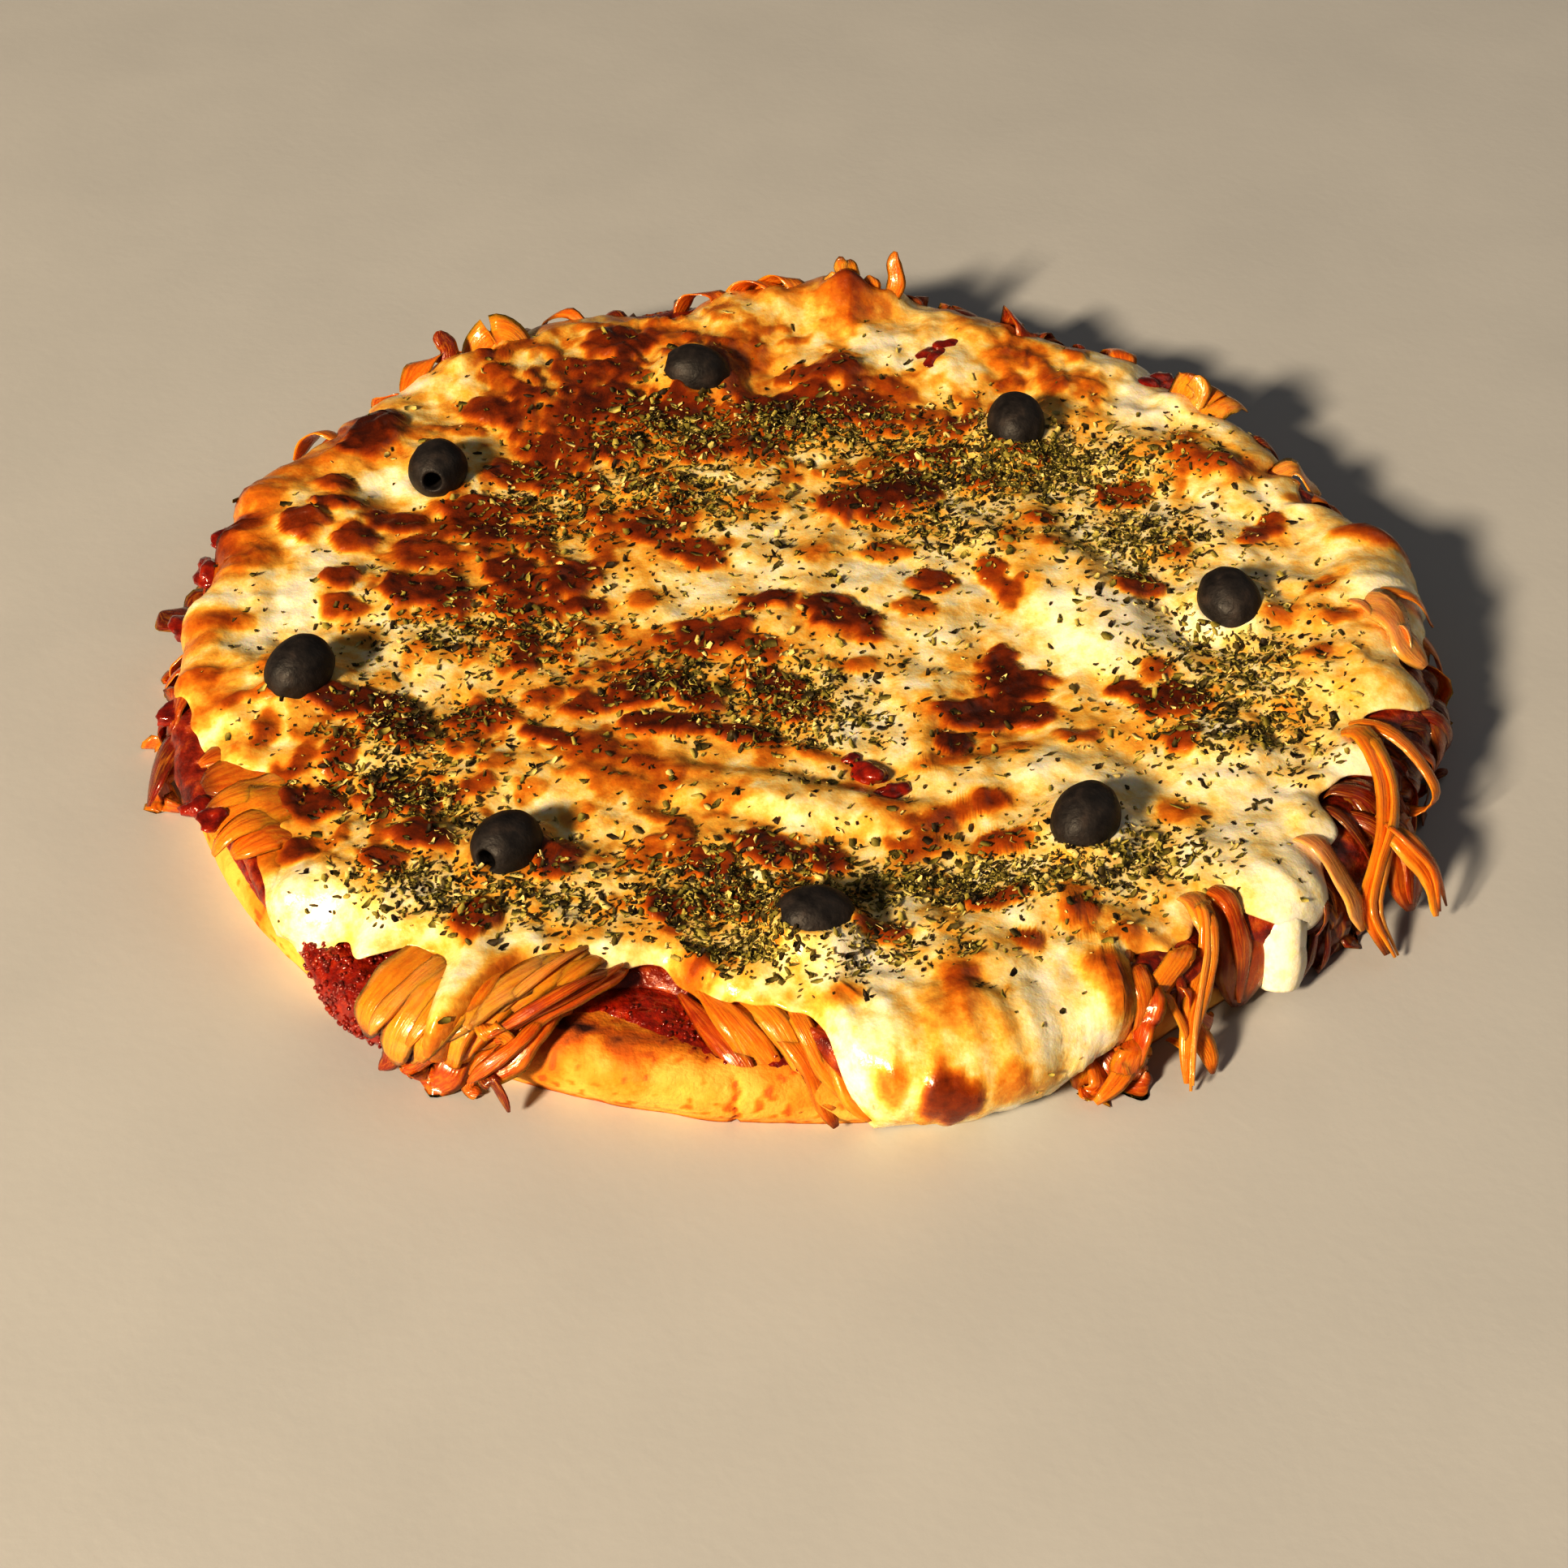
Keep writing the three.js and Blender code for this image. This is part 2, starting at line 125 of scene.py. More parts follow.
# Peaks of the cheese over onions that stand up at the rim: x, y, radius, height
PEAKS = [
    (17, 140, 7.5, 8), (28, 140, 5, 4), (-3, 139, 7, 2.5), (107, 92, 6, 3.5), (-90, 108, 6, 2.5),
    (140, 57, 6, 2.5), (146, 27, 8, 4.5), (150, 6, 7, 2), (-128, 84, 8, 2.5), (-150, 34, 8, 2),
]

# Olives: place, heading of the pitted end in degrees, and how high the cheese stands round it
OLIVES = [
    (-25, 103, 172, 4.2), (61, 75, 95, 3.8), (110, 1, 110, 4.2), (68, -80, 62, 2.4), (6, -113, 190, 6),
    (-64, -87, 240, 2.4), (-118, -28, 55, 2.2), (-92, 57, 266, 2.0),
]

# Browned spots of the cheese on its flat pattern: x, y, half length, half width, heading in degrees, and
# browning from 0.2, a yellow pool of fat, through 0.5, orange, to 1, burnt.
BROWNED = [
    # back left
    (-112, 75, 11, 8, 90, 0.88), (-118, 52, 5, 4, 0, 0.62), (-117, 42, 8, 3.5, 0, 0.76),
    (-125, 33, 6, 5.5, 90, 0.82), (-136, 22, 8, 6, 0, 0.38), (-140, 37, 6, 5, 70, 0.64),
    (-140, 54, 8, 5, 50, 0.52), (-111, 29, 5.5, 5, 0, 0.76), (-101, 38, 8, 5, 0, 0.78),
    (-76, 34, 7, 5, 0, 0.8), (-94, 25, 9, 6, 0, 0.68), (-137, -3, 5, 4, 0, 0.45),
    (-113, 13, 5, 4.5, 0, 0.76), (-111, 2, 6, 4.5, 0, 0.68), (-90, 7, 13, 7, -8, 0.84),
    (-69, 14, 10, 6, -50, 0.85), (-55, 14, 8, 7, 0, 0.8), (-51, 5, 6, 3, 0, 0.7),
    (-80, 45, 11, 6, 20, 0.76), (-70, 60, 11, 7, 0, 0.66), (-55, 72, 17, 8, 0, 0.68),
    (-60, 84, 14, 7, 20, 0.58), (-48, 90, 11, 9, 0, 0.72), (-56, 103, 12, 8, 0, 0.66),
    (-47, 119, 11, 8, 0, 0.78), (-80, 86, 9, 5, -20, 0.76), (-71, 92, 5, 4, 0, 0.64),
    (-80, 102, 6, 4.5, 0, 0.62), (-84, 112, 6, 3, 95, 0.55), (-66, 114, 6, 3, 110, 0.52),
    (-30, 87, 9, 8, 0, 0.76), (-22, 73, 8, 6, 90, 0.72), (-10, 71, 7, 4, 0, 0.74),
    (-5, 89, 10, 8, 0, 0.8), (-14, 113, 12, 8, 80, 0.48), (-36, 122, 10, 8, 0, 0.45),
    (-36, 34, 6, 5, 0, 0.72), (-24, 27, 10, 5, -15, 0.72), (-27, 38, 6, 4, 80, 0.56),
    (-15, 32, 4, 3, 0, 0.38), (-9, 50, 4, 3, 0, 0.52), (-36, 8, 4.5, 4, 0, 0.54),
    (-45, 42, 14, 8, 0, 0.3), (-75, 30, 14, 10, 0, 0.28), (-122, 62, 12, 8, 90, 0.2),
    # back right
    (31, 51, 10, 9, 80, 0.92), (18, 48, 11, 8.5, 0, 0.78), (12, 104, 9, 6, 0, 0.58),
    (28, 98, 7, 6, 0, 0.56), (4, 95, 8, 6, 0, 0.72), (15, 88, 10, 6, 0, 0.8), (1, 81, 9, 5, 0, 0.78),
    (20, 141, 14, 8, 80, 0.5), (46, 83, 6, 5, 0, 0.68), (38, 68, 7, 5, 0, 0.76), (50, 56, 7, 5, 0, 0.6),
    (88, 52, 9, 5, 0, 0.7), (62, 66, 9, 4, 0, 0.62), (62, 114, 9, 8, 0, 0.5), (72, 100, 10, 4, 105, 0.52),
    (61, 102, 6, 4, 0, 0.46), (80, 117, 7, 4, 90, 0.55), (83, 96, 8, 5, 100, 0.46),
    (108, 62, 9, 6, -10, 0.56), (105, 74, 4, 4, 0, 0.46), (122, 58, 7, 4, 0, 0.43),
    (122, 33, 7, 4.5, 35, 0.76), (148, 27, 8, 6, -10, 0.72), (139, 45, 9, 3, -10, 0.42),
    (65, 39, 5, 3, 20, 0.6), (67, 28, 3.5, 2.5, 0, 0.34), (57, 30, 5, 3, 80, 0.46),
    (25, 25, 7, 4, 0, 0.56), (6, 25, 4, 4, 0, 0.4), (36, 14, 8, 4.5, 10, 0.78), (31, 4, 6, 4, 0, 0.6),
    (52, 16, 8, 3.5, 110, 0.68), (56, 8, 6, 3, 70, 0.6), (88, 11, 6, 5, 0, 0.77),
    (100, 27, 5, 3, 60, 0.52), (133, 6, 7, 3, 40, 0.5), (121, -4, 5, 3, 0, 0.42),
    # middle
    (13, -1, 11, 7, -25, 0.88), (-5, 4, 6, 5, 0, 0.86), (-22, -8, 11, 8, 20, 0.82),
    (-8, -13, 8, 4, -20, 0.64), (18, -18, 5, 3, 0, 0.52), (-65, -13, 7, 3.5, 90, 0.78),
    (-70, 1, 5, 3, 0, 0.6), (-58, -30, 4, 3, 0, 0.56), (-48, -35, 6, 4, 0, 0.72),
    # front left
    (-103, -35, 15, 5, -8, 0.92), (-92, -45, 11, 5, -20, 0.88), (-125, -34, 11, 3, 10, 0.52),
    (-74, -38, 10, 5, 0, 0.66), (-57, -46, 9, 3, -20, 0.88), (-34, -29, 9, 7, 0, 0.88),
    (-22, -32, 7, 5, 0, 0.74), (-30, -42, 11, 4, -8, 0.92), (-10, -45, 10, 3, -5, 0.78),
    (-4, -26, 8, 5, 0, 0.82), (3, -34, 6, 5, 0, 0.84), (-106, -53, 7, 4, 90, 0.72),
    (-125, -46, 6, 3, 80, 0.56), (-112, -69, 9, 6, -20, 0.78), (-90, -69, 10, 7, 0, 0.86),
    (-84, -82, 7, 5, 0, 0.82), (-92, -91, 6, 4, 0, 0.72), (-112, -85, 4.5, 3.5, 90, 0.72),
    (-72, -63, 5, 3, 30, 0.6), (-53, -90, 7, 6, 0, 0.8), (-70, -110, 7, 5, 70, 0.78),
    (-5, -85, 9, 6, -20, 0.78), (-17, -91, 7, 5, 0, 0.72), (-27, -105, 6, 5, 0, 0.8),
    (-11, -103, 7, 5, 0, 0.72), (9, -89, 5, 4, 60, 0.64), (-33, -56, 4, 3, -30, 0.52),
    (-100, -112, 4, 4, 0, 0.5), (-30, -58, 18, 9, -15, 0.27), (-45, -48, 9, 6, 0, 0.3),
    # front right
    (52, -16, 6, 5, 80, 0.9), (55, -25, 10, 6, 0, 0.94), (46, -35, 11, 6, 20, 0.92),
    (59, -35, 6, 5, 0, 0.84), (40, -46, 5, 4, 0, 0.97), (90, -22, 5, 4, 60, 0.6), (92, -34, 9, 6, 0, 0.9),
    (82, -29, 6, 3, -30, 0.82), (93, -48, 6, 4, 80, 0.72), (68, -45, 6, 3, -10, 0.57),
    (55, -48, 6, 3, 0, 0.42), (47, -69, 6, 3, 30, 0.55), (90, -73, 6, 5, 0, 0.5),
    (136, -6, 6, 3, 0, 0.52), (129, -20, 4, 3, 0, 0.46), (33, -76, 9, 3.5, 10, 0.5),
    (43, -70, 8, 3, 20, 0.55), (29, -83, 7, 4, 0, 0.62), (48, -83, 7, 4, 10, 0.66),
    (24, -70, 6, 3, -20, 0.5), (8, -52, 9, 2.5, -20, 0.42), (36, -54, 8, 3, 10, 0.36),
    (14, -62, 7, 3, 0, 0.34), (8, -88, 6, 3, 90, 0.66), (47, -102, 9, 3.5, 10, 0.72),
    (20, -115, 6, 3.5, 0, 0.68), (66, -107, 4, 3, 0, 0.52), (53, -116, 4, 3, 0, 0.64),
    (30, -95, 6, 3, 0, 0.5),
    # the front flow
    (38, -129, 7, 3, 70, 0.4), (12, -134, 4, 3, 0, 0.4), (34, -146, 6, 4, 0, 0.82),
    (21, -146, 4, 2, 10, 0.4), (46, -143, 4, 2.5, 20, 0.35), (54, -141, 4, 2, 20, 0.25),
    (36, -134, 14, 9, 10, 0.26), (70, -124, 6, 5, 0, 0.45), (28, -152, 12, 4, 0, 0.2),
]
# Where the cheese stays white: x, y, radius and how clean it is
WHITE = [
    (62, 3, 22, 0.04), (84, -6, 16, 0.02), (112, 82, 12, 0.07), (134, 54, 11, 0.07), (30, 120, 13, 0.06),
    (92, 88, 11, 0.06), (74, 72, 8, 0.05), (139, 27, 8, 0.05), (-14, 60, 10, 0.05), (-3, 40, 10, 0.04),
    (46, 44, 9, 0.05), (53, 112, 7, 0.05), (112, -85, 20, 0.1), (-106, -106, 22, 0.08),
    (0, -70, 16, 0.03), (-110, 95, 10, 0.04), (-20, 16, 24, 0.02), (-130, 66, 13, 0.06),
    (-119, 24, 7, 0.05), (-124, 4, 11, 0.06), (-101, 53, 9, 0.05), (-99, 104, 10, 0.05),
    (-107, 18, 5, 0.04), (-138, -37, 13, 0.08), (-132, -9, 8, 0.05), (-30, -52, 12, 0),
    (130, -60, 14, 0.05), (10, 70, 10, 0), (60, -60, 12, 0), (50, -127, 10, 0.1), (20, -132, 11, 0.1),
    (58, -130, 10, 0.08), (24, -152, 9, 0.12), (50, -150, 9, 0.12),
]

# Broad zones of the cheese that took more colour: x, y, radius, browning
BROAD = [
    (-45, 85, 46, 0.42), (-92, 30, 38, 0.22), (0, 92, 30, 0.38), (-30, -35, 34, 0.26),
    (-98, -66, 34, 0.36), (50, 78, 30, 0.2), (-66, 8, 30, 0.26), (108, 60, 20, 0.16),
    (-12, -95, 34, 0.28), (50, -30, 22, 0.2), (98, -30, 22, 0.14), (32, -134, 30, 0.05),
    (-126, -22, 20, 0.14), (24, 46, 20, 0.16), (70, -112, 20, 0.2),
]

# Dried oregano: x, y, spread along and across, and number of flakes of each drift
OREGANO_DRIFTS = [
    (64, 63, 26, 10, 1300), (5, 80, 30, 9, 680), (-36, 77, 14, 13, 330), (-26, 50, 20, 11, 330),
    (-60, 46, 18, 14, 300), (40, 36, 14, 10, 240), (90, 31, 15, 13, 420), (110, -20, 17, 19, 480),
    (110, -45, 19, 12, 340), (-76, -6, 26, 12, 400), (0, -30, 13, 11, 290), (6, -42, 20, 8, 190),
    (-32, -25, 15, 10, 190), (-92, -40, 20, 10, 220), (-95, -61, 14, 12, 260), (-82, -72, 10, 8, 130),
    (-84, -100, 14, 9, 210), (-58, -101, 18, 9, 250), (-14, -100, 17, 11, 580), (-5, -118, 15, 8, 400),
    (40, -96, 27, 7, 680), (76, -88, 15, 8, 250), (22, -120, 26, 6, 150), (0, 0, 90, 90, 900),
]
# Share of those numbers that leaves and crumbs each get, and their shortest and longest lengths
OREGANO_SHARE = 0.85
LEAF_LENGTHS = (1.2, 3.4)
CRUMB_LENGTHS = (0.6, 1.4)
FLAKE_POINTS = 12

# Onion strips round the rim: from, to in degrees, number, how far they stand off the heap, or sink into it
# below 0, shortest and longest length, lean along the rim in radians, and darkest tint, partly the onions'
# own red and partly painted shade, given to the strips lowest in the heap
STRIP_STRETCHES = [
    (238, 251, 22, -1.5, 10, 18, -0.8, 0.6), (296, 305, 10, 1.6, 10, 18, 0.0, 0.8),
    (322, 348, 34, 1.8, 12, 24, 0.0, 1.2), (348, 386, 36, 2.0, 12, 26, 0.0, 0.9),
    (386, 484, 76, 2.5, 12, 28, 0.2, 0.9), (484, 556, 36, 1.2, 10, 20, 0.3, 0.9),
]
# Widths of broad and narrow ones, from and to, and shares of broad ones and of burnt tips
BROAD_STRIP = (7, 12)
NARROW_STRIP = (2.4, 5.5)
BROAD_SHARE = 0.3
BURNT_SHARE = 0.22

# Strips that are told apart in the photograph: width, tint from 0, pale, to 1, dark red, and points from
# root to tip
SINGLE_STRIPS = {
    # right of the front flow
    "apron": (15, 0.30, [(73, -114, 22), (71, -121, 23), (69, -128, 15), (66, -134, 7), (64, -139, 2)]),
    "foot": (6, 0.32, [(89, -110, 20), (86, -119, 24), (78, -129, 15), (74, -137, 7), (67, -142, 2)]),
    "hung": (6, 0.26, [(91, -98, 21), (93, -108, 27), (93, -115, 22), (91, -122, 16), (89, -129, 10),
                       (88, -137, 2)]),
    "split": (5, 0.34, [(92, -117, 19), (90, -125, 13), (92, -130, 7), (94, -134, 2)]),
    "veil": (8, 0.12, [(88, -96, 22), (91, -104, 27), (94, -110, 23), (94, -116, 16)]),
    "coated": (17, 0.56, [(93, -94, 20), (98, -102, 25), (101, -107, 20), (103, -111, 13), (102, -114, 3)]),
    # right
    "pink": (8, 0.02, [(115, -77, 21), (121, -85, 26), (126, -90, 21), (130, -94, 15), (132, -97, 9)]),
    "long": (7, 0.30, [(129, -44, 22), (135, -51, 30), (139, -63, 28), (139, -74, 22), (136, -84, 17),
                       (134, -92, 11), (138, -98, 3)]),
    "loop": (5, 0.30, [(130, -42, 22), (137, -45, 28), (145, -50, 28), (152, -58, 22), (152, -63, 19),
                       (148, -65, 17), (142, -62, 16)]),
    "low": (9, 0.22, [(137, -70, 20), (143, -77, 20), (149, -82, 13), (151, -87, 5)]),
    "panel": (13, 0.62, [(134, -68, 19), (141, -73, 19), (144, -79, 13), (145, -85, 5)]),
    "petal": (11, 0.06, [(140, 2, 28), (145, -4, 31), (149, -11, 31), (152, -16, 29), (156, -20, 24)]),
    "thin": (4, 0.30, [(142, 4, 27), (148, 2, 31), (154, 1, 29.5), (159, 2, 25), (163, 4, 18)]),
    "stub": (9, 0.22, [(140, -22, 22), (147, -25, 26), (150, -29, 20), (150, -33, 13)]),
    "shaded": (8, 0.85, [(144, -18, 22), (152, -21, 24), (156, -25, 17), (157, -28, 9)]),
    "outer": (7, 0.45, [(150, 0, 22), (156, -2, 22), (161, -4, 17), (165, -5, 9)]),
    "tube": (9, 0.12, [(127, 62, 21), (133, 61, 24.5), (138, 59, 23), (141, 57, 19)]),
    "right_tip": (10, 0.22, [(102, 87, 20), (107, 92, 27), (109, 94, 33)]),
    "right_flame": (7, 0.16, [(106, 85, 20), (110, 89, 27), (111, 92, 34)]),
    "right_fan": (9, 0.20, [(110, 82, 22), (116, 87, 27), (121, 90, 27), (125, 92, 22)]),
    "right_leaf": (7, 0.30, [(108, 87, 22), (114, 91, 29), (118, 94, 27), (120, 97, 20)]),
    "right_red": (6, 0.85, [(122, 74, 21), (127, 76, 23.5), (130, 76, 21), (133, 75, 16)]),
    # back
    "back_tip": (5, 0.18, [(13, 137, 24), (15, 141, 31), (16, 144, 39)]),
    "tuft_1": (5, 0.22, [(21, 137, 24), (19, 141, 31), (17, 144, 37)]),
    "tuft_2": (6, 0.12, [(8, 137, 23), (11, 141, 29), (13, 143, 34)]),
    "tuft_3": (5, 0.30, [(25, 137, 23), (24, 141, 29), (23, 143, 33)]),
    "back_thin": (5, 0.36, [(27, 134, 22), (30, 142, 31), (31, 147, 38)]),
    "back_low": (7, 0.45, [(2, 138, 22), (-4, 144, 28), (-12, 146, 28), (-18, 146, 21)]),
    "back_band": (6, 0.35, [(8, 139, 22), (2, 146, 29), (-6, 149, 27), (-14, 150, 18)]),
    "back_arch": (6, 0.50, [(-16, 137, 22), (-21, 143, 27), (-27, 143, 26), (-32, 139, 20)]),
    "left_tip": (6, 0.80, [(-92, 107, 21), (-94, 112, 28), (-96, 115, 33)]),
    "left_loop": (9, 0.22, [(-90, 112, 22), (-85, 119, 27), (-77, 120, 28), (-70, 114, 22)]),
    "left_lie": (7, 0.40, [(-106, 101, 21), (-102, 108, 25), (-95, 114, 25), (-88, 118, 19)]),
    "left_out": (7, 0.25, [(-118, 77, 20), (-125, 82, 22), (-131, 82, 19), (-134, 80, 14)]),
    # left
    "dark_1": (12, 0.97, [(-138, 12, 16), (-148, 10, 16), (-155, 11, 15), (-160, 14, 14)]),
    "dark_3": (10, 0.97, [(-138, -32, 16), (-147, -35, 15), (-153, -41, 11), (-154, -49, 5)]),
    # the bunch over the spilled sauce
    "bunch_1": (9, 0.20, [(-42, -114, 22), (-48, -121, 25), (-57, -128, 24), (-66, -133, 20),
                          (-76, -136, 15)]),
    "bunch_2": (8, 0.14, [(-47, -115, 22), (-53, -123, 25), (-63, -130, 24), (-72, -135, 20),
                          (-78, -136, 16)]),
    "bunch_3": (7, 0.26, [(-38, -113, 21), (-45, -121, 24), (-53, -129, 23), (-61, -134, 19),
                          (-68, -138, 14)]),
    "bunch_9": (5, 0.38, [(-57, -117, 22), (-65, -129, 24), (-73, -135, 20), (-80, -138, 14)]),
    "ridge": (7, 0.55, [(-36, -120, 21), (-44, -128, 24), (-54, -134, 22), (-64, -138, 17)]),
    "flap": (9, 0.50, [(-50, -130, 20), (-57, -138, 18), (-63, -141, 14), (-69, -142, 9)]),
    "curl": (5, 0.30, [(-68, -132, 19), (-65, -138, 20), (-61, -139, 18), (-62, -142, 12)]),
    "burnt_tip": (4, 0.98, [(-66, -134, 15), (-66, -142, 12), (-64, -145, 9), (-61, -146, 4)]),
    # between the bare dough and the flow
    "front_1": (8, 0.34, [(-20, -124, 20), (-12, -136, 21), (-4, -143, 14), (3, -149, 6)]),
    "front_2": (6, 0.24, [(-14, -122, 20), (-4, -136, 22), (3, -143, 15), (10, -149, 7)]),
    "front_3": (6, 0.62, [(-24, -126, 19), (-14, -139, 17), (-8, -145, 12), (-4, -148, 7)]),
    "front_5": (9, 0.28, [(3, -124, 20), (9, -138, 20), (13, -145, 13), (18, -150, 5)]),
    "front_6": (6, 0.40, [(-9, -124, 20), (-1, -137, 20), (5, -145, 13), (11, -151, 4)]),
    "front_4": (5, 0.30, [(-6, -122, 20), (3, -137, 22), (9, -145, 14), (15, -150, 6)]),
}
# Those of them that are torn into finer strips
FRAYED = ("apron", "hung", "coated", "long", "panel", "petal", "low", "bunch_1", "ridge", "flap")

# Broad onion slices that lie flush on the shoulder: width, tint, angle in degrees and distance past the
# start of the shoulder at either end, and lift off the onions
SHEETS = [
    # left
    (19, 0.36, 203, -16, 204, 3, 0.9), (14, 0.28, 209, -18, 209.5, 5, 1.0),
    (13, 0.42, 214, -14, 213, 4, 0.8), (8, 0.20, 206.5, -15, 207, 4, 1.3),
    (10, 0.50, 199.5, -10, 200.5, 3, 0.9), (8, 0.30, 211.5, -12, 211, 6, 1.3),
    # the fan over the spilled sauce
    (11, 0.24, 236.2, -5, 234.4, 11, 0.5), (12, 0.17, 239.6, -7, 237.6, 12, 0.7),
    (10, 0.20, 247.5, -15, 239.8, 10, 1.0), (10, 0.28, 248.3, -14, 241.8, 11, 0.6),
    (9, 0.18, 249, -13, 243.6, 10, 0.3), (5, 0.13, 238.4, -4, 235.8, 9, 1.2),
    (6, 0.20, 244.5, -6, 241, 14, 1.2), (5, 0.36, 249.5, -5, 245.2, 8, 0.8),
    (6, 0.26, 242, -9, 239, 9, 0.9),
]

# Tomato pieces: x, y, z and radius
TOMATO_PIECES = [
    (41, 113, 25, 5), (45, 118, 25, 4), (100, 103, 23, 5), (105, 104, 22, 4), (95, 107, 22, 4),
    (19, -57, 22.6, 4.5), (25, -64, 22.4, 4), (15, -53, 23, 2.5), (-136, -64, 17, 5),
    (-133, -71, 21, 4.5), (-152, 4, 17, 5), (-2, 143, 24, 5), (-149, -29, 18, 4.5), (-149, 28, 16, 5),
    (-146, 42, 17, 4.5),
]
# Radii of the grains of the sauce, from and to
GRAIN_RADII = (0.35, 0.8)

# The camera that took the photograph, in the same frame
CAMERA_HEADING = -90
CAMERA_ELEVATION = 41.99
CAMERA_DISTANCE = 739.5
CAMERA_TARGET = (-1.0, -35.85, 0)
LENS = 68.94
SENSOR = 36

# Lights: heading round the pizza and elevation in degrees, distance and size in metres, power and colour
KEY_LIGHT = (231, 30, 4.4, 0.6, 336, (1.0, 0.81, 0.56))
FILL_LIGHT = (20, 45, 1.6, 1.2, 2, (1.0, 0.93, 0.82))
SKY_COLOR = (1.0, 0.95, 0.88, 1)
SKY_STRENGTH = 0.1
EXPOSURE = 0.12
GAMMA = 0.72
FLOOR_HALF = 3.0

# How finely the meshes are made
CHEESE_GRID = 281
CRUST_SEGMENTS = 960
SAUCE_SEGMENTS = 780
CORE_SEGMENTS = 420
OLIVE_SEGMENTS = 40
OLIVE_STATIONS = 30
STRIP_STEPS = 20
DRIP_STEPS = 40
EDGE_STEPS = 7
SEED = 7


# Shape rules shared with the solids

def smoothstep(x, low, high):
    share = np.clip((x - low) / (high - low), 0, 1)
    return share * share * (3 - 2 * share)


def near(angle, at, width, power=2):
    """1 at an angle of the rim, falling to 0 on either side"""
    off = angle - math.radians(at)
    return np.exp(-np.abs(np.arctan2(np.sin(off), np.cos(off)) / math.radians(width)) ** power)


def lobes(angle, places):
    """What several places of the rim (at, width, by) add up to"""
    return sum(by * near(angle, at, width) for at, width, by in places)


def hump(x, y, at_x, at_y, radius):
    """1 at a place of the flat pattern, falling to 0 round it"""
    return np.exp(-((x - at_x) ** 2 + (y - at_y) ** 2) / radius**2)


def on_pattern(angle, along):
    """Places of the flat pattern from an angle and a distance along the dough's skin"""
    return along * np.cos(angle), along * np.sin(angle)


def turned(x, y, heading):
    """Coordinates along and across a heading"""
    turn = math.radians(heading)
    return x * math.cos(turn) + y * math.sin(turn), y * math.cos(turn) - x * math.sin(turn)


def noise_at(points):
    return np.array([noise.noise(p) for p in points.tolist()])


def wobble(x, y, size, layer):
    """Smooth noise from about -1 to 1 with lumps about size across, another for each layer"""
    points = np.stack([x / size, y / size, np.full(np.shape(x), 7.31 * layer)], -1).reshape(-1, 3)
    return noise_at(points).reshape(np.shape(x))


def shoulder_start(angle):
    return CRUST_RADIUS - SHOULDER + 1.6 * np.sin(3 * angle + 2.9) + 0.8 * np.sin(5 * angle + 2)


def layer_end(edge, angle, extra=0):
    """Distance along the dough's skin to a layer's end, at most just above the foot of the dough"""
    base, places = edge
    reach = base + 1.6 * np.sin(9 * angle + 1) + 1.2 * np.sin(17 * angle + base) + extra
    return shoulder_start(angle) + np.minimum(reach + lobes(angle, places), CRUST_SIDE - 0.6)


def cheese_end(angle):
    """The cheese's edge, more ragged than the solid's"""
    x, y = on_pattern(angle, CRUST_RADIUS)
    held = 1 - near(angle, FLOW_AT, 10) - near(angle, DRIP_AT, 5, 4)
    ragged = (5 * wobble(x, y, 17, 1) + 3 * wobble(x, y, 7, 2) - 2) * held
    return layer_end(CHEESE_EDGE, angle, ragged + lobes(angle, CHEESE_NOTCHES))


def skin(angle, along, lift):
    """Points at a distance along the dough's skin from the axis, lifted off it"""
    start = shoulder_start(angle)
    bend = np.clip((along - start) / SHOULDER, 0, math.pi / 2)
    down = np.maximum(0, along - start - SHOULDER * math.pi / 2)
    radius = np.minimum(along, start) + (SHOULDER + lift) * np.sin(bend)
    height = CRUST_HEIGHT - SHOULDER + (SHOULDER + lift) * np.cos(bend) - down
    return np.stack([radius * np.cos(angle), radius * np.sin(angle), np.maximum(height, GAP)], -1)


def thinned(end, along, over):
    """Share of its thickness that a layer keeps towards its end"""
    return 1 - 0.6 * smoothstep(along, end - over, end) - 0.4 * smoothstep(along, end, end + 1)


def sauce_lift(angle, along):
    start = shoulder_start(angle)
    spill = lobes(angle, [SAUCE_SPILL]) * smoothstep(along, start, start + 10)
    return (SAUCE_THICKNESS + spill) * thinned(layer_end(SAUCE_EDGE, angle), along, 4)


def onion_lift(angle, along):
    lumpy = (0.8 * np.sin(11 * angle + along / 9) + 0.5 * np.sin(23 * angle)) * smoothstep(along, 60, 110)
    rim = ONION_RIM_EXTRA * smoothstep(along, 95, 135)
    bulge = lobes(angle, [ONION_BULGE]) * smoothstep(along, 132, 148)
    onions = ONION_THICKNESS + rim + bulge + lumpy
    return sauce_lift(angle, along) + onions * thinned(layer_end(ONION_EDGE, angle), along, 6)


def cheese_relief(x, y):
    """Slow swell, blisters and folds of the cheese"""
    height = 0.9 * np.sin(x / 17 + 0.6) * np.cos(y / 21) + 0.6 * np.sin((x - y) / 12 + 2)
    for bx, by, radius, rise in BLISTERS:
        height = height + rise * hump(x, y, bx, by, radius) ** 2
    for fx, fy, heading, length, width, rise in FOLDS:
        along, across = turned(x - fx, y - fy, heading)
        height = height + rise * np.exp(-((along / length) ** 4) - (across / width) ** 4)
    return height


# Fine surface of the cheese

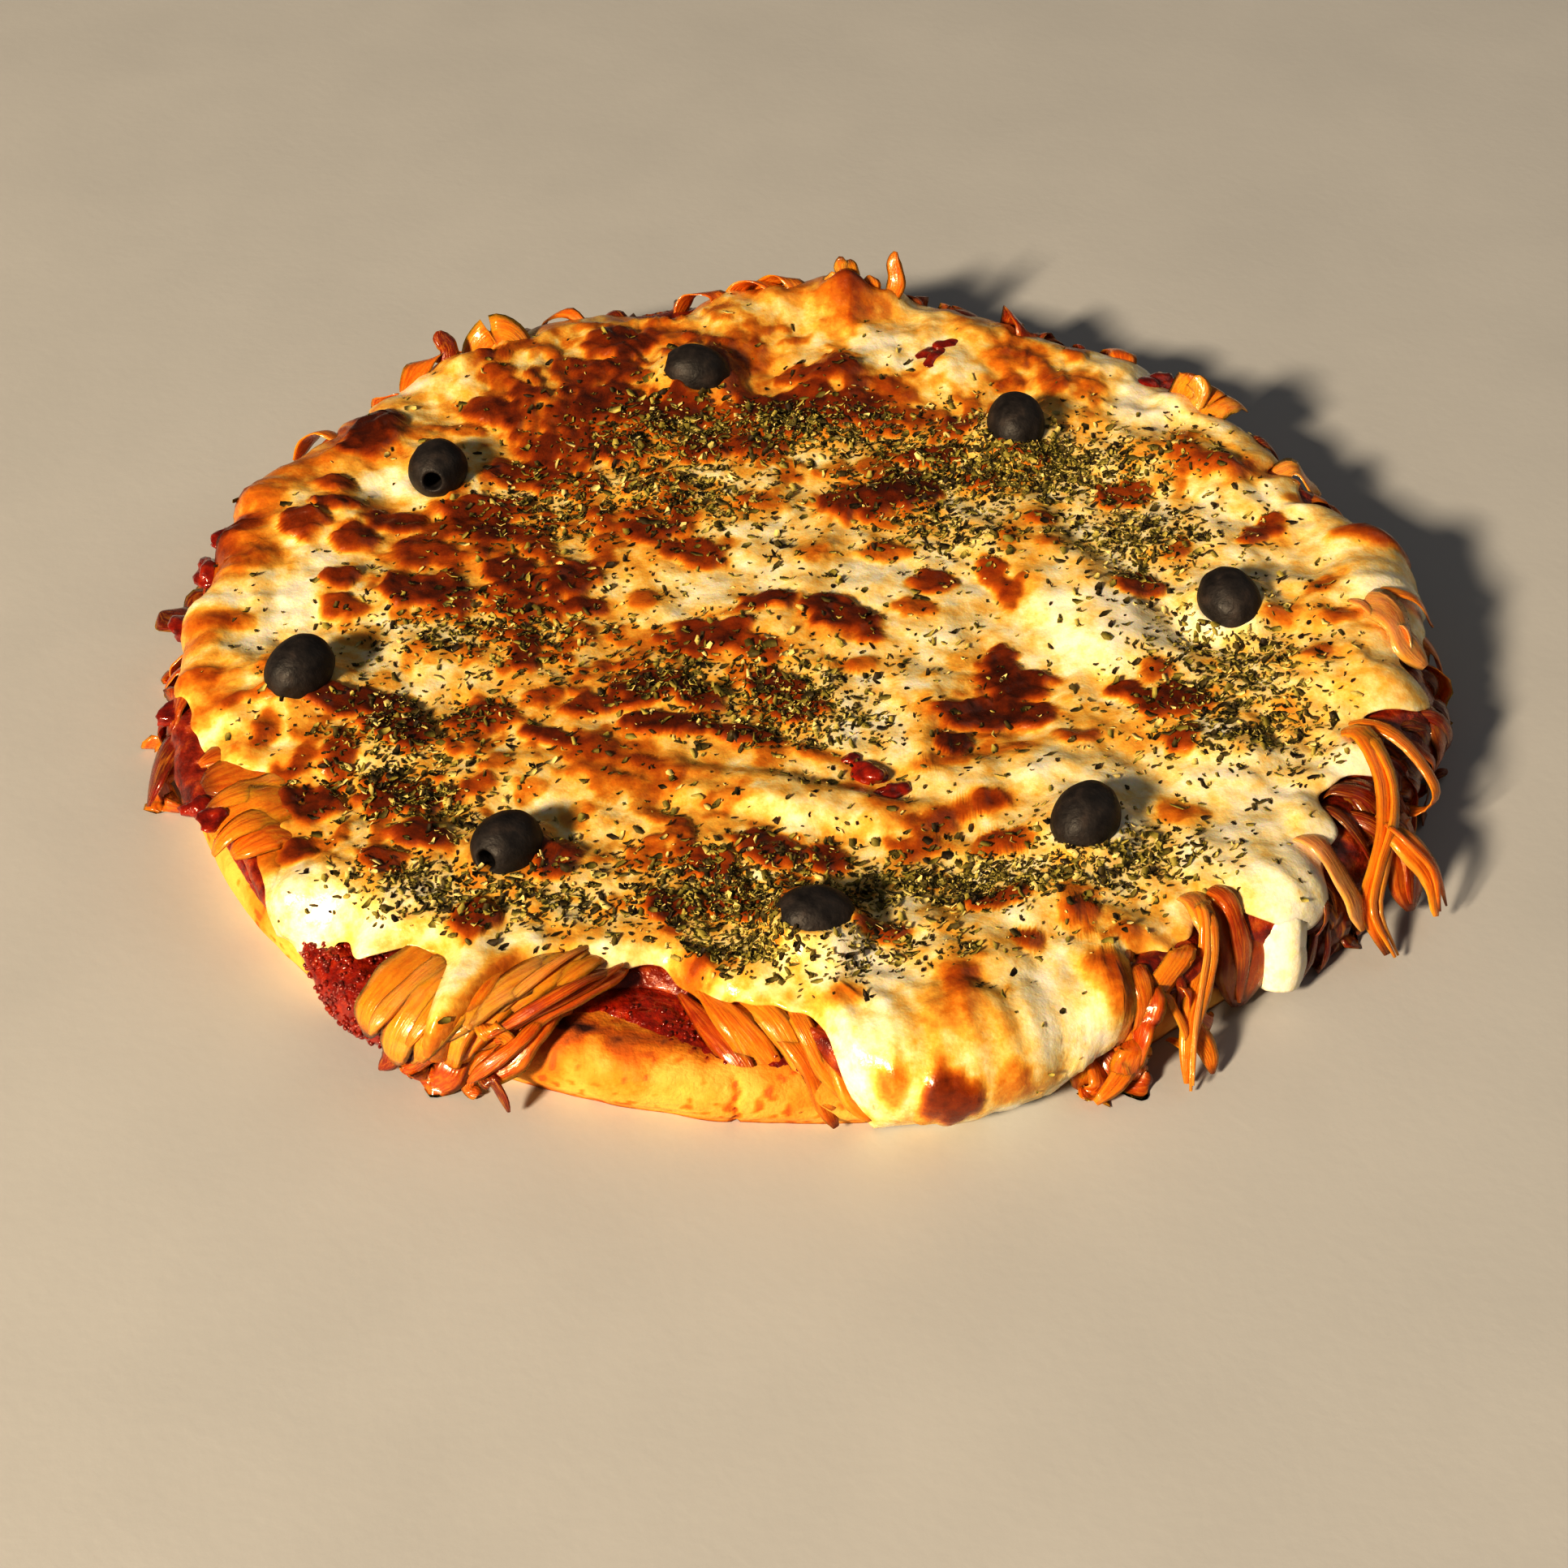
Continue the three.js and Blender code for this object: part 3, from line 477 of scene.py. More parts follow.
def browning(x, y):
    """How browned the cheese is at places of its flat pattern, from 0, white, to 1, burnt"""
    ragged = 0.42 * wobble(x, y, 8, 3) + 0.36 * wobble(x, y, 3.4, 4)
    mottled = 0.25 + 1.3 * smoothstep(wobble(x, y, 10, 6) + 0.7 * wobble(x, y, 4, 7), -0.05, 0.3)
    zone = sum(brown * hump(x, y, zx, zy, radius) for zx, zy, radius, brown in BROAD)
    base = 0.13 + 0.12 * wobble(x, y, 24, 5) + 0.14 * wobble(x, y, 8, 65)
    for wx, wy, radius, clean in WHITE:
        white = hump(x, y, wx, wy, radius)
        zone = zone * (1 - 0.75 * white)
        base = base - clean * white
    plain = 1 - np.clip(base + np.minimum(zone, 0.5) * mottled, 0, 0.6)
    for bx, by, length, width, heading, brown in BROWNED:
        along, across = turned(x - bx, y - by, heading)
        away = np.maximum(0, np.hypot(along / length, across / width) + ragged)
        crisp = 0.3 + 0.55 * smoothstep(brown, 0.45, 0.75)
        spot = crisp * (1 - smoothstep(away, 0.7, 1.2)) + (1 - crisp) * np.exp(-0.9 * away**2)
        plain = plain * (1 - 0.97 * brown * spot)
    return 1 - plain


def strands(x, y):
    """Low ridges where onion strands push up under the cheese"""
    height = 0
    for layer, heading in enumerate((20, 75, 130)):
        along, across = turned(x, y, heading)
        ridge = 1 - np.minimum(1, np.abs(wobble(along / 4, across, 4.5, 10 + layer)) / 0.3)
        height = height + ridge**2 * smoothstep(wobble(x, y, 26, 20 + layer), 0.0, 0.35)
    return height


def cheese_lift(angle, along):
    """Lift of the cheese's top over the dough's skin, with its fine relief"""
    end = cheese_end(angle)
    x, y = on_pattern(angle, along)
    fade = 1 - smoothstep(along, end - 12, end)
    edge_fade = 1 - 0.7 * smoothstep(along, end - 5, end)
    rim = smoothstep(along, 95, 132)
    brown = browning(x, y)
    blistered = smoothstep(brown, 0.3, 0.8) * (1.3 + 0.9 * wobble(x, y, 3.2, 7))
    swell = 1.1 * wobble(x, y, 13, 8) + 0.75 * wobble(x, y, 6, 9)
    swell = swell + rim * (1.1 * wobble(x, y, 10, 62) + 0.5 * wobble(x, y, 4, 63))
    flow = near(angle, FLOW_AT, 11) * smoothstep(along, 108, 128)
    runs = 0.9 * flow * wobble(CRUST_RADIUS * angle, along / 6, 6, 61)
    ridges = (0.5 + 0.3 * rim) * strands(x, y) * smoothstep(brown, 0.1, 0.35)
    fine = swell + ridges + blistered + runs
    placed = lobes(angle, [LEFT_DIP]) * smoothstep(along, 105, 138)
    for ox, oy, _, collar in OLIVES:
        away = np.hypot(x - ox, y - oy)
        placed = placed + collar * np.exp(-((away - 8) / 4.5) ** 2) - 3.5 * (1 - smoothstep(away, 2, 7))
    for px, py, radius, rise in PEAKS:
        placed = placed + rise * hump(x, y, px, py, radius)
    thickness = CHEESE_THICKNESS * thinned(end, along, 7)
    return onion_lift(angle, along) + thickness + cheese_relief(x, y) * fade + fine * edge_fade + placed


def cheese_point(x, y):
    """Points of the cheese's top over places of its flat pattern"""
    angle, along = np.arctan2(y, x), np.hypot(x, y)
    return skin(angle, along, cheese_lift(angle, along))


def cheese_frame(x, y, step=0.7):
    """Points of the cheese's top, and the normals there"""
    ahead = cheese_point(x + step, y) - cheese_point(x - step, y)
    beside = cheese_point(x, y + step) - cheese_point(x, y - step)
    return cheese_point(x, y), unit(np.cross(ahead, beside))


# Meshes

def unit(vectors):
    return vectors / np.linalg.norm(vectors, axis=-1, keepdims=True)


def circle(segments):
    return np.linspace(0, 2 * math.pi, segments, endpoint=False)


def spun(points, angle, first=0, second=1):
    """Points turned by an angle in the plane of two axes"""
    made = points.copy()
    made[:, first] = points[:, first] * math.cos(angle) - points[:, second] * math.sin(angle)
    made[:, second] = points[:, first] * math.sin(angle) + points[:, second] * math.cos(angle)
    return made


def added(name, data):
    """A new object in the scene"""
    made = bpy.data.objects.new(name, data)
    bpy.context.scene.collection.objects.link(made)
    return made


def make_piece(name, points, faces, look, node=None, values=None):
    """A mesh piece from points in millimetres, with named values at its points"""
    mesh = bpy.data.meshes.new(name)
    mesh.from_pydata((np.asarray(points) * MM).tolist(), [], faces)
    for key, value in (values or {}).items():
        layer = mesh.attributes.new(key, "FLOAT", "POINT")
        layer.data.foreach_set("value", np.ascontiguousarray(value, np.float32).ravel())
    mesh.polygons.foreach_set("use_smooth", [True] * len(mesh.polygons))
    mesh.materials.append(look)
    mesh.validate()
    piece = added(name, mesh)
    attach(piece, "root")
    if node:
        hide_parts(*node)


def ring_faces(upper, lower):
    """Faces between two rings of points, seen from outside the lower one"""
    return np.stack([lower, np.roll(lower, -1), np.roll(upper, -1), upper], -1).tolist()


def tube_faces(rings):
    """Faces between each ring of points and the next"""
    return [face for upper, lower in zip(rings[:-1], rings[1:]) for face in ring_faces(upper, lower)]


def cap_faces(middle, ring, above=True):
    """Faces from a middle point to the ring round it, seen from above or from below"""
    pairs = zip(ring.tolist(), np.roll(ring, -1).tolist())
    return [[middle, a, b] if above else [middle, b, a] for a, b in pairs]


def shifted(faces, by):
    """Faces whose points come later in a joined list"""
    return [[k + by for k in face] for face in faces]


def disc_top(count):
    """A square grid pulled onto a disc: angle and share of the radius of each point, faces and border"""
    side = np.linspace(-1, 1, count)
    u, v = (a.ravel() for a in np.meshgrid(side, side))
    wide = np.abs(u) >= np.abs(v)
    share = np.where(wide, np.abs(u), np.abs(v))
    ratio = np.where(wide, v, u) / np.where(share == 0, 1, np.where(wide, u, v))
    angle = np.where(wide, ratio * math.pi / 4 + math.pi * (u < 0),
                     math.pi / 2 - ratio * math.pi / 4 + math.pi * (v < 0))
    at = np.arange(count * count).reshape(count, count)
    faces = np.stack([at[:-1, :-1], at[:-1, 1:], at[1:, 1:], at[1:, :-1]], -1).reshape(-1, 4).tolist()
    border = np.concatenate([at[0, :-1], at[:-1, -1], at[-1, :0:-1], at[:0:-1, 0]])
    return angle, share, faces, border


def polar_top(segments, shares):
    """Rings of points round the axis: angle and share of the radius of each point, faces and border"""
    angle = np.concatenate([[0], np.tile(circle(segments), len(shares))])
    share = np.concatenate([[0], np.repeat(shares, segments)])
    rings = 1 + np.arange(len(shares) * segments).reshape(len(shares), segments)
    return angle, share, cap_faces(0, rings[0]) + tube_faces(rings), rings[-1]


def layer_mesh(top, end_at, lift_at, under_at, rounding):
    """A closed layer over the dough: its top, an edge that turns down, and its underside. Returns the
    points, the faces and each point's angle and place along the skin."""
    angle, share, faces, border = top
    end = end_at(angle)
    along = share * (end - rounding)
    rows = [(angle, along, lift_at(angle, along))]
    rim_angle, rim_end = angle[border], end[border]
    for step in range(1, EDGE_STEPS + 1):
        turn = math.pi / 2 - math.pi * step / EDGE_STEPS
        edge = rim_end - rounding + rounding * math.cos(turn)
        under = under_at(rim_angle, edge)
        height = under + (lift_at(rim_angle, edge) - under) * (1 + math.sin(turn)) / 2
        rows.append((rim_angle, edge, height))
    for part in (0.8, 0.45):
        inner = part * (rim_end - rounding)
        rows.append((rim_angle, inner, under_at(rim_angle, inner)))
    rings = len(angle) + np.arange((len(rows) - 1) * len(border)).reshape(-1, len(border))
    last = len(angle) + rings.size
    faces = faces + tube_faces([border, *rings]) + cap_faces(last, rings[-1], False)
    middle = np.zeros(1)
    rows.append((middle, middle, under_at(middle, middle)))
    angle, along, lift = (np.concatenate(column) for column in zip(*rows))
    return skin(angle, along, lift), faces, angle, along


def ribbons(paths, width, thickness, curl, roll):
    """Closed strips along paths (strip, step, xyz), each with a bent, lens-shaped section. Width,
    thickness, curl and roll are given for each strip and step. Returns points, faces and across."""
    ahead = unit(np.gradient(paths, axis=1))
    radial = unit(paths * np.array([1, 1, 0.0]))
    tangent = np.stack([-radial[..., 1], radial[..., 0], np.zeros(paths.shape[:2])], -1)
    sweep = ahead - np.sum(ahead * tangent, -1, keepdims=True) * tangent
    sweep = sweep + 0.35 * (radial - np.array([0, 0, 1.0]))
    across = unit(np.cross(ahead, np.cross(tangent, sweep)))
    up = np.cross(ahead, across)
    width, thickness, curl, roll = (given[..., None] for given in (width, thickness, curl, roll))
    spread = np.cos(roll) * across + np.sin(roll) * up
    lifted = np.cos(roll) * up - np.sin(roll) * across
    place = np.array([-1, -0.6, -0.2, 0.2, 0.6, 1, 0.6, 0.2, -0.2, -0.6])
    side = np.array([0, 1, 1, 1, 1, 0, -1, -1, -1, -1]) * np.sqrt(1 - 0.9 * place**2)
    out = width / 2 * np.sin(place * curl) / np.sin(curl)
    rise = width / 2 * (np.cos(place * curl) - 1) / np.sin(curl) + side * thickness / 2
    points = paths[:, :, None] + out[..., None] * spread[:, :, None] + rise[..., None] * lifted[:, :, None]
    points[..., 2] = np.maximum(points[..., 2], GAP)
    strips, steps, ring = points.shape[:3]
    at = np.arange(strips * steps * ring).reshape(strips, steps, ring)
    near_side, far_side = at[:, :-1], at[:, 1:]
    walls = np.stack([near_side, np.roll(near_side, -1, 2), np.roll(far_side, -1, 2), far_side], -1)
    faces = walls.reshape(-1, 4).tolist() + at[:, 0, ::-1].tolist() + at[:, -1].tolist()
    return points.reshape(-1, 3), faces, np.broadcast_to(place, points.shape[:3])


def smooth_path(corners, steps):
    """A smooth path through corner points"""
    corners = np.array(corners, float)
    ends = np.concatenate([2 * corners[:1] - corners[1:2], corners, 2 * corners[-1:] - corners[-2:-1]])
    made = []
    for u in np.linspace(0, len(corners) - 1, steps):
        i = min(int(u), len(corners) - 2)
        t = u - i
        p0, p1, p2, p3 = ends[i:i + 4]
        bend = 2 * p0 - 5 * p1 + 4 * p2 - p3 + t * (3 * (p1 - p2) + p3 - p0)
        made.append(p1 + 0.5 * t * (p2 - p0 + t * bend))
    return np.array(made)


def lumps(centres, radii, squash, rng, rings, segments, rough):
    """Small uneven lumps, one closed mesh for all"""
    turn = circle(segments)
    tilt = np.linspace(0, math.pi, rings + 1)[1:-1]
    ball = np.stack([np.outer(np.sin(tilt), np.cos(turn)), np.outer(np.sin(tilt), np.sin(turn)),
                     np.outer(np.cos(tilt), np.ones(segments))], -1).reshape(-1, 3)
    ball = np.concatenate([[[0, 0, 1.0]], ball, [[0, 0, -1.0]]])
    rows = 1 + np.arange((rings - 1) * segments).reshape(rings - 1, segments)
    shape = cap_faces(0, rows[0]) + tube_faces(rows) + cap_faces(len(ball) - 1, rows[-1], False)
    points, faces = [], []
    for i, (centre, radius) in enumerate(zip(centres, radii)):
        heading = rng.uniform(0, 2 * math.pi)
        swell = 1 + rough * noise_at(ball * 1.3 + 5.7 * i)
        body = ball * swell[:, None] * radius * np.array(squash)
        points.append(spun(body, heading) + np.array(centre))
        faces += shifted(shape, i * len(ball))
    return np.concatenate(points), faces


# Materials

class Look:
    """A material's nodes, with short ways to add and join them. Soft gives the weight, scale and radius of
    the light that spreads under the surface, and coat the weight and roughness of a wet film."""

    def __init__(self, name, soft=(0, 0.05, (1.0, 0.2, 0.1)), coat=(0, 0.03)):
        self.material = bpy.data.materials.new(name)
        self.material.use_nodes = True
        self.tree = self.material.node_tree
        self.shader = self.tree.nodes["Principled BSDF"]
        self.place = self.add("ShaderNodeTexCoord").outputs["Object"]
        names = [f"Subsurface {word}" for word in ("Weight", "Scale", "Radius")]
        names += ["Coat Weight", "Coat Roughness"]
        for socket, value in zip(names, (*soft, *coat)):
            self.shader.inputs[socket].default_value = value

    def add(self, kind, **settings):
        node = self.tree.nodes.new(kind)
        for key, value in settings.items():
            setattr(node, key, value)
        return node

    def feed(self, socket, value):
        """Sets a socket to a value, or joins it to another node's output"""
        if isinstance(value, bpy.types.NodeSocket):
            self.tree.links.new(value, socket)
        else:
            socket.default_value = value

    def value(self, name):
        return self.add("ShaderNodeAttribute", attribute_name=name).outputs["Fac"]

    def grain(self, size, detail=3, place=None):
        """Noise with lumps about size millimetres across, or at a scale of size over another place"""
        node = self.add("ShaderNodeTexNoise")
        self.feed(node.inputs["Vector"], place or self.place)
        node.inputs["Scale"].default_value = 1 / (size * MM) if place is None else size
        node.inputs["Detail"].default_value = detail
        return node.outputs["Fac"]

    def math(self, operation, first, second):
        node = self.add("ShaderNodeMath", operation=operation)
        self.feed(node.inputs[0], first)
        self.feed(node.inputs[1], second)
        return node.outputs[0]

    def swing(self, value, by):
        """A noise from 0 to 1 as a number from -by to by"""
        return self.math("MULTIPLY", self.math("SUBTRACT", value, 0.5), 2 * by)

    def span(self, value, low, high, to_low=0.0, to_high=1.0):
        """Maps a stretch of a value to another, and holds it outside"""
        node = self.add("ShaderNodeMapRange")
        settings = (value, low, high, to_low, to_high)
        for socket, setting in zip(("Value", "From Min", "From Max", "To Min", "To Max"), settings):
            self.feed(node.inputs[socket], setting)
        return node.outputs["Result"]

    def patchy(self, size, low, high):
        """A value that wanders between two ends in patches about size millimetres across"""
        return self.span(self.grain(size), 0.3, 0.7, low, high)

    def ramp(self, value, stops):
        node = self.add("ShaderNodeValToRGB")
        self.feed(node.inputs["Fac"], value)
        elements = node.color_ramp.elements
        while len(elements) < len(stops):
            elements.new(0.5)
        for element, (at, color) in zip(elements, stops):
            element.position = at
            element.color = (*color, 1)
        return node.outputs["Color"]

    def mix(self, share, first, second):
        node = self.add("ShaderNodeMix", data_type="RGBA")
        self.feed(node.inputs[0], share)
        self.feed(node.inputs[6], first)
        self.feed(node.inputs[7], (*second, 1))
        return node.outputs[2]

    def bump(self, height, depth, below=None):
        """Fine relief depth millimetres deep, over another one"""
        node = self.add("ShaderNodeBump")
        node.inputs["Distance"].default_value = depth * MM
        self.feed(node.inputs["Height"], height)
        if below is not None:
            self.feed(node.inputs["Normal"], below)
        return node.outputs["Normal"]

    def relief(self, *layers):
        """Bumps laid over one another, each given by its size and depth in millimetres"""
        normal = None
        for size, depth in layers:
            normal = self.bump(self.grain(size), depth, normal)
        return normal

    def finish(self, color, roughness, normal):
        self.feed(self.shader.inputs["Base Color"], color)
        self.feed(self.shader.inputs["Roughness"], roughness)
        self.feed(self.shader.inputs["Normal"], normal)
        return self.material


def cheese_look():
    look = Look("melted_cheese", soft=(0.25, 0.002, (1.0, 0.55, 0.2)), coat=(0.25, 0.12))
    look.shader.inputs["Specular IOR Level"].default_value = 0.4
    blotch = look.swing(look.grain(3.2), 0.17)
    freckle = look.swing(look.grain(0.9), 0.06)
    brown = look.math("ADD", look.value("brown"), look.math("ADD", blotch, freckle))
    color = look.ramp(brown, [
        (0.0, (0.95, 0.90, 0.77)), (0.08, (0.94, 0.84, 0.57)), (0.15, (0.92, 0.73, 0.34)),
        (0.26, (0.86, 0.52, 0.10)), (0.42, (0.64, 0.24, 0.018)), (0.6, (0.40, 0.095, 0.005)),
        (0.78, (0.24, 0.042, 0.003)), (0.97, (0.08, 0.013, 0.002)),
    ])
    return look.finish(color, look.patchy(4, 0.2, 0.42), look.relief((0.7, 0.07), (2.2, 0.22)))


def soaked_and_shaded_core_look():
    look = Look("soaked_onion_and_painted_shade", soft=(0.2, 0.002, (1.0, 0.3, 0.1)), coat=(0.5, 0.12))
    # Dark red of sauce-soaked onion, made darker still as painted shade in the gaps between the strips
    color = look.ramp(look.grain(4), [
        (0.3, (0.10, 0.008, 0.003)), (0.5, (0.26, 0.025, 0.006)), (0.65, (0.42, 0.085, 0.012)),
        (0.8, (0.55, 0.18, 0.03)),
    ])
    return look.finish(color, look.patchy(3, 0.2, 0.45), look.relief((0.8, 0.2), (2.5, 0.8)))


def onion_look():
    look = Look("onion", soft=(0.5, 0.0025, (1.0, 0.45, 0.15)), coat=(0.5, 0.1))
    # The tint is the onion's own colour, and for the rim strips also painted shade low in the heap
    tint = look.math("ADD", look.value("tint"), look.swing(look.grain(5), 0.16))
    color = look.ramp(tint, [
        (0.0, (0.82, 0.42, 0.17)), (0.2, (0.86, 0.33, 0.026)), (0.4, (0.76, 0.21, 0.010)),
        (0.6, (0.50, 0.10, 0.006)), (0.8, (0.28, 0.03, 0.004)), (1.0, (0.11, 0.009, 0.003)),
    ])
    joined = look.add("ShaderNodeCombineXYZ")
    for socket, (name, scale) in zip(joined.inputs, (("across", 2.6), ("run", 0.8), ("tint", 40.0))):
        look.feed(socket, look.math("MULTIPLY", look.value(name), scale))
    veins = look.grain(2.2, 2, joined.outputs[0])
    color = look.mix(look.span(veins, 0.45, 0.7, 0.0, 0.4), color, (0.92, 0.44, 0.04))
    color = look.mix(look.span(veins, 0.5, 0.3, 0.0, 0.4), color, (0.36, 0.07, 0.008))
    soaked = look.span(look.value("tint"), 0.3, 0.7)
    stained = look.math("MULTIPLY", look.span(look.grain(9), 0.52, 0.7), soaked)
    color = look.mix(look.math("MULTIPLY", stained, 0.8), color, (0.26, 0.016, 0.005))
    color = look.mix(look.value("burnt"), color, (0.06, 0.012, 0.006))
    return look.finish(color, look.patchy(3, 0.18, 0.42), look.bump(veins, 0.25, look.relief((1.2, 0.1))))


def sauce_look():
    look = Look("tomato_sauce", soft=(0.15, 0.002, (1.0, 0.2, 0.1)), coat=(1.0, 0.05))
    color = look.ramp(look.grain(2.4), [
        (0.25, (0.10, 0.005, 0.001)), (0.5, (0.28, 0.014, 0.002)), (0.7, (0.42, 0.04, 0.004)),
        (0.85, (0.52, 0.13, 0.02)),
    ])
    return look.finish(color, look.patchy(2, 0.12, 0.38), look.relief((0.5, 0.15), (1.3, 0.5)))


def crust_look():
    look = Look("baked_dough", soft=(0.1, 0.002, (1.0, 0.6, 0.3)))
    toast_and_shade = look.math("ADD", look.value("toast_and_shade"), look.swing(look.grain(7), 0.2))
    toast_and_shade = look.math("ADD", toast_and_shade, look.swing(look.grain(1.6), 0.09))
    color = look.ramp(toast_and_shade, [
        (0.0, (0.86, 0.50, 0.11)), (0.22, (0.74, 0.30, 0.022)), (0.42, (0.58, 0.155, 0.008)),
        (0.62, (0.48, 0.14, 0.018)), (0.82, (0.20, 0.05, 0.014)), (1.0, (0.06, 0.016, 0.008)),
    ])
    return look.finish(color, look.patchy(4, 0.6, 0.85), look.relief((0.8, 0.2), (3.5, 0.5)))


def olive_look():
    look = Look("black_olive")
    color = look.ramp(look.grain(4), [
        (0.3, (0.014, 0.011, 0.011)), (0.55, (0.030, 0.024, 0.023)), (0.75, (0.06, 0.044, 0.038)),
    ])
    return look.finish(color, look.patchy(2, 0.46, 0.66), look.relief((2.6, 0.3), (0.9, 0.14)))


def oregano_look(name):
    look = Look(name)
    tint = look.math("ADD", look.value("tint"), look.swing(look.grain(0.8), 0.12))
    color = look.ramp(tint, [
        (0.0, (0.03, 0.016, 0.004)), (0.25, (0.10, 0.075, 0.011)), (0.5, (0.26, 0.22, 0.035)),
        (0.75, (0.48, 0.41, 0.10)), (0.95, (0.78, 0.66, 0.30)),
    ])
    return look.finish(color, look.patchy(1, 0.55, 0.8), look.relief((0.4, 0.08)))


def tomato_look(name):
    look = Look(name, soft=(0.2, 0.003, (1.0, 0.2, 0.08)), coat=(1.0, 0.05))
    color = look.ramp(look.grain(3), [
        (0.3, (0.12, 0.005, 0.001)), (0.55, (0.29, 0.016, 0.002)), (0.75, (0.44, 0.05, 0.006)),
    ])
    return look.finish(color, look.patchy(2, 0.15, 0.4), look.relief((1.5, 0.35)))


def floor_look():
    look = Look("pale_floor")
    color = look.ramp(look.grain(60), [(0.3, (0.56, 0.58, 0.62)), (0.7, (0.59, 0.61, 0.65))])
    return look.finish(color, look.patchy(20, 0.6, 0.7), look.relief((3, 0.05)))


# Pieces

def make_cheese():
    points, faces, angle, along = layer_mesh(
        disc_top(CHEESE_GRID), cheese_end, cheese_lift,
        lambda angle, along: onion_lift(angle, along) - 0.4, CHEESE_EDGE_ROUNDING)
    x, y = on_pattern(angle, along)
    end = cheese_end(angle)
    edge = np.maximum(0, 0.12 + 0.4 * wobble(x, y, 9, 60) - lobes(angle, PALE_EDGE))
    brown = browning(x, y) + edge * smoothstep(along, end - 15, end - 4)
    drip, drip_faces = make_drip()
    faces = faces + shifted(drip_faces, len(points))
    points = np.concatenate([points, drip])
    brown = np.append(brown, np.full(len(drip), DRIP_BROWNING))
    make_piece("melted_cheese", points, faces, cheese_look(), ["cheese"], {"brown": brown})


def make_drip():
    """Points and faces of the long drip that runs over the rim"""
    path = smooth_path(DRIP, DRIP_STEPS)
    width = path[:, 3] * (1 + 0.06 * wobble(path[:, 0], 3 * path[:, 2], 6, 70))
    bend, turn = np.full(len(path), DRIP_BEND), np.full(len(path), DRIP_TURN)
    points, faces, _ = ribbons(path[None, :, :3], width[None], path[None, :, 4], bend[None], turn[None])
    return points, faces


def make_sauce():
    def grainy(angle, along):
        x, y = on_pattern(angle, along)
        grains = 0.55 * wobble(x, y, 2.6, 30) + 0.4 * wobble(x, y, 1.4, 31)
        return sauce_lift(angle, along) + grains * smoothstep(along, 118, 128)

    shares = np.concatenate([[0.4, 0.75], np.linspace(0.82, 1, 36)])
    points, faces, _, _ = layer_mesh(
        polar_top(SAUCE_SEGMENTS, shares), lambda angle: layer_end(SAUCE_EDGE, angle), grainy,
        lambda angle, along: np.full(np.shape(angle), -0.2), SAUCE_EDGE_ROUNDING)
    make_piece("tomato_sauce", points, faces, sauce_look(), ["sauce"])


def make_sauce_grains():
    """Soft grains that stand out of the spilled sauce"""
    rng = np.random.default_rng(SEED + 1)
    spilled = rng.normal(230, 6, 760)
    bare_lip = rng.uniform(252, 271, 300)
    left = rng.uniform(160, 200, 200)
    at = np.radians(np.concatenate([spilled, bare_lip, left]))
    along = shoulder_start(at) + rng.uniform(-10, 17, len(at))
    kept = along < layer_end(SAUCE_EDGE, at) - 1
    at, along = at[kept], along[kept]
    centres = skin(at, along, sauce_lift(at, along) + 0.1)
    radii = rng.uniform(*GRAIN_RADII, len(at))
    points, faces = lumps(centres, radii, (1.2, 1.0, 0.8), rng, rings=5, segments=8, rough=0.2)
    make_piece("sauce_grains", points, faces, tomato_look("sauce_grain"), None)


def crack(angle, past):
    """1 along a thin crack down the dough's bare lip"""
    return near(angle - 0.004 * np.sin(past), CRACK_AT, 0.2) * smoothstep(past, 3, 7)


def crust_side(angle, past):
    """Points of the dough's outside, at a distance past the start of its shoulder"""
    lip = 2.2 * near(angle, LIP_AT, 14) * np.exp(-(((past - 4) / 9) ** 2))
    x = CRUST_RADIUS * angle
    uneven = 0.7 * wobble(x, past, 15, 40) + 0.35 * wobble(x, past, 6, 41)
    tuck = -2 * smoothstep(past, 0.75 * CRUST_SIDE, CRUST_SIDE)
    points = skin(angle, shoulder_start(angle) + past, lip + uneven - 1.3 * crack(angle, past) + tuck)
    points[..., 2] = np.where(past >= CRUST_SIDE, 0, points[..., 2])
    return points


def crust_toast(angle, past):
    """How toasted the dough's outside is, from 0, pale, to 1, burnt, with painted shade down the crack"""
    x = CRUST_RADIUS * angle
    uneven = 1 + 0.9 * wobble(x, past, 6, 45) + 0.7 * wobble(x, past, 2.5, 46)
    spot = 0.6 * near(angle, SCORCH_AT, 3.6) * np.exp(-(((past - 0.5) / 2.6) ** 2))
    halo = 0.3 * near(angle, SCORCH_AT + 2, 8) * np.exp(-(((past + 1) / 5) ** 2))
    freckles = 0.3 * smoothstep(wobble(x, past, 2.2, 47), 0.3, 0.6)
    # Paler from 8 to 16 mm past the start of the shoulder, and darker again towards the foot
    side = 0.15 + 0.26 * wobble(x, past, 14, 42) - 0.16 * smoothstep(past, 8, 16)
    foot = 0.3 * smoothstep(past, 17, CRUST_SIDE)
    # The crack is darkened as painted shade
    return side + (spot + halo) * uneven + freckles + 0.6 * crack(angle, past) + foot


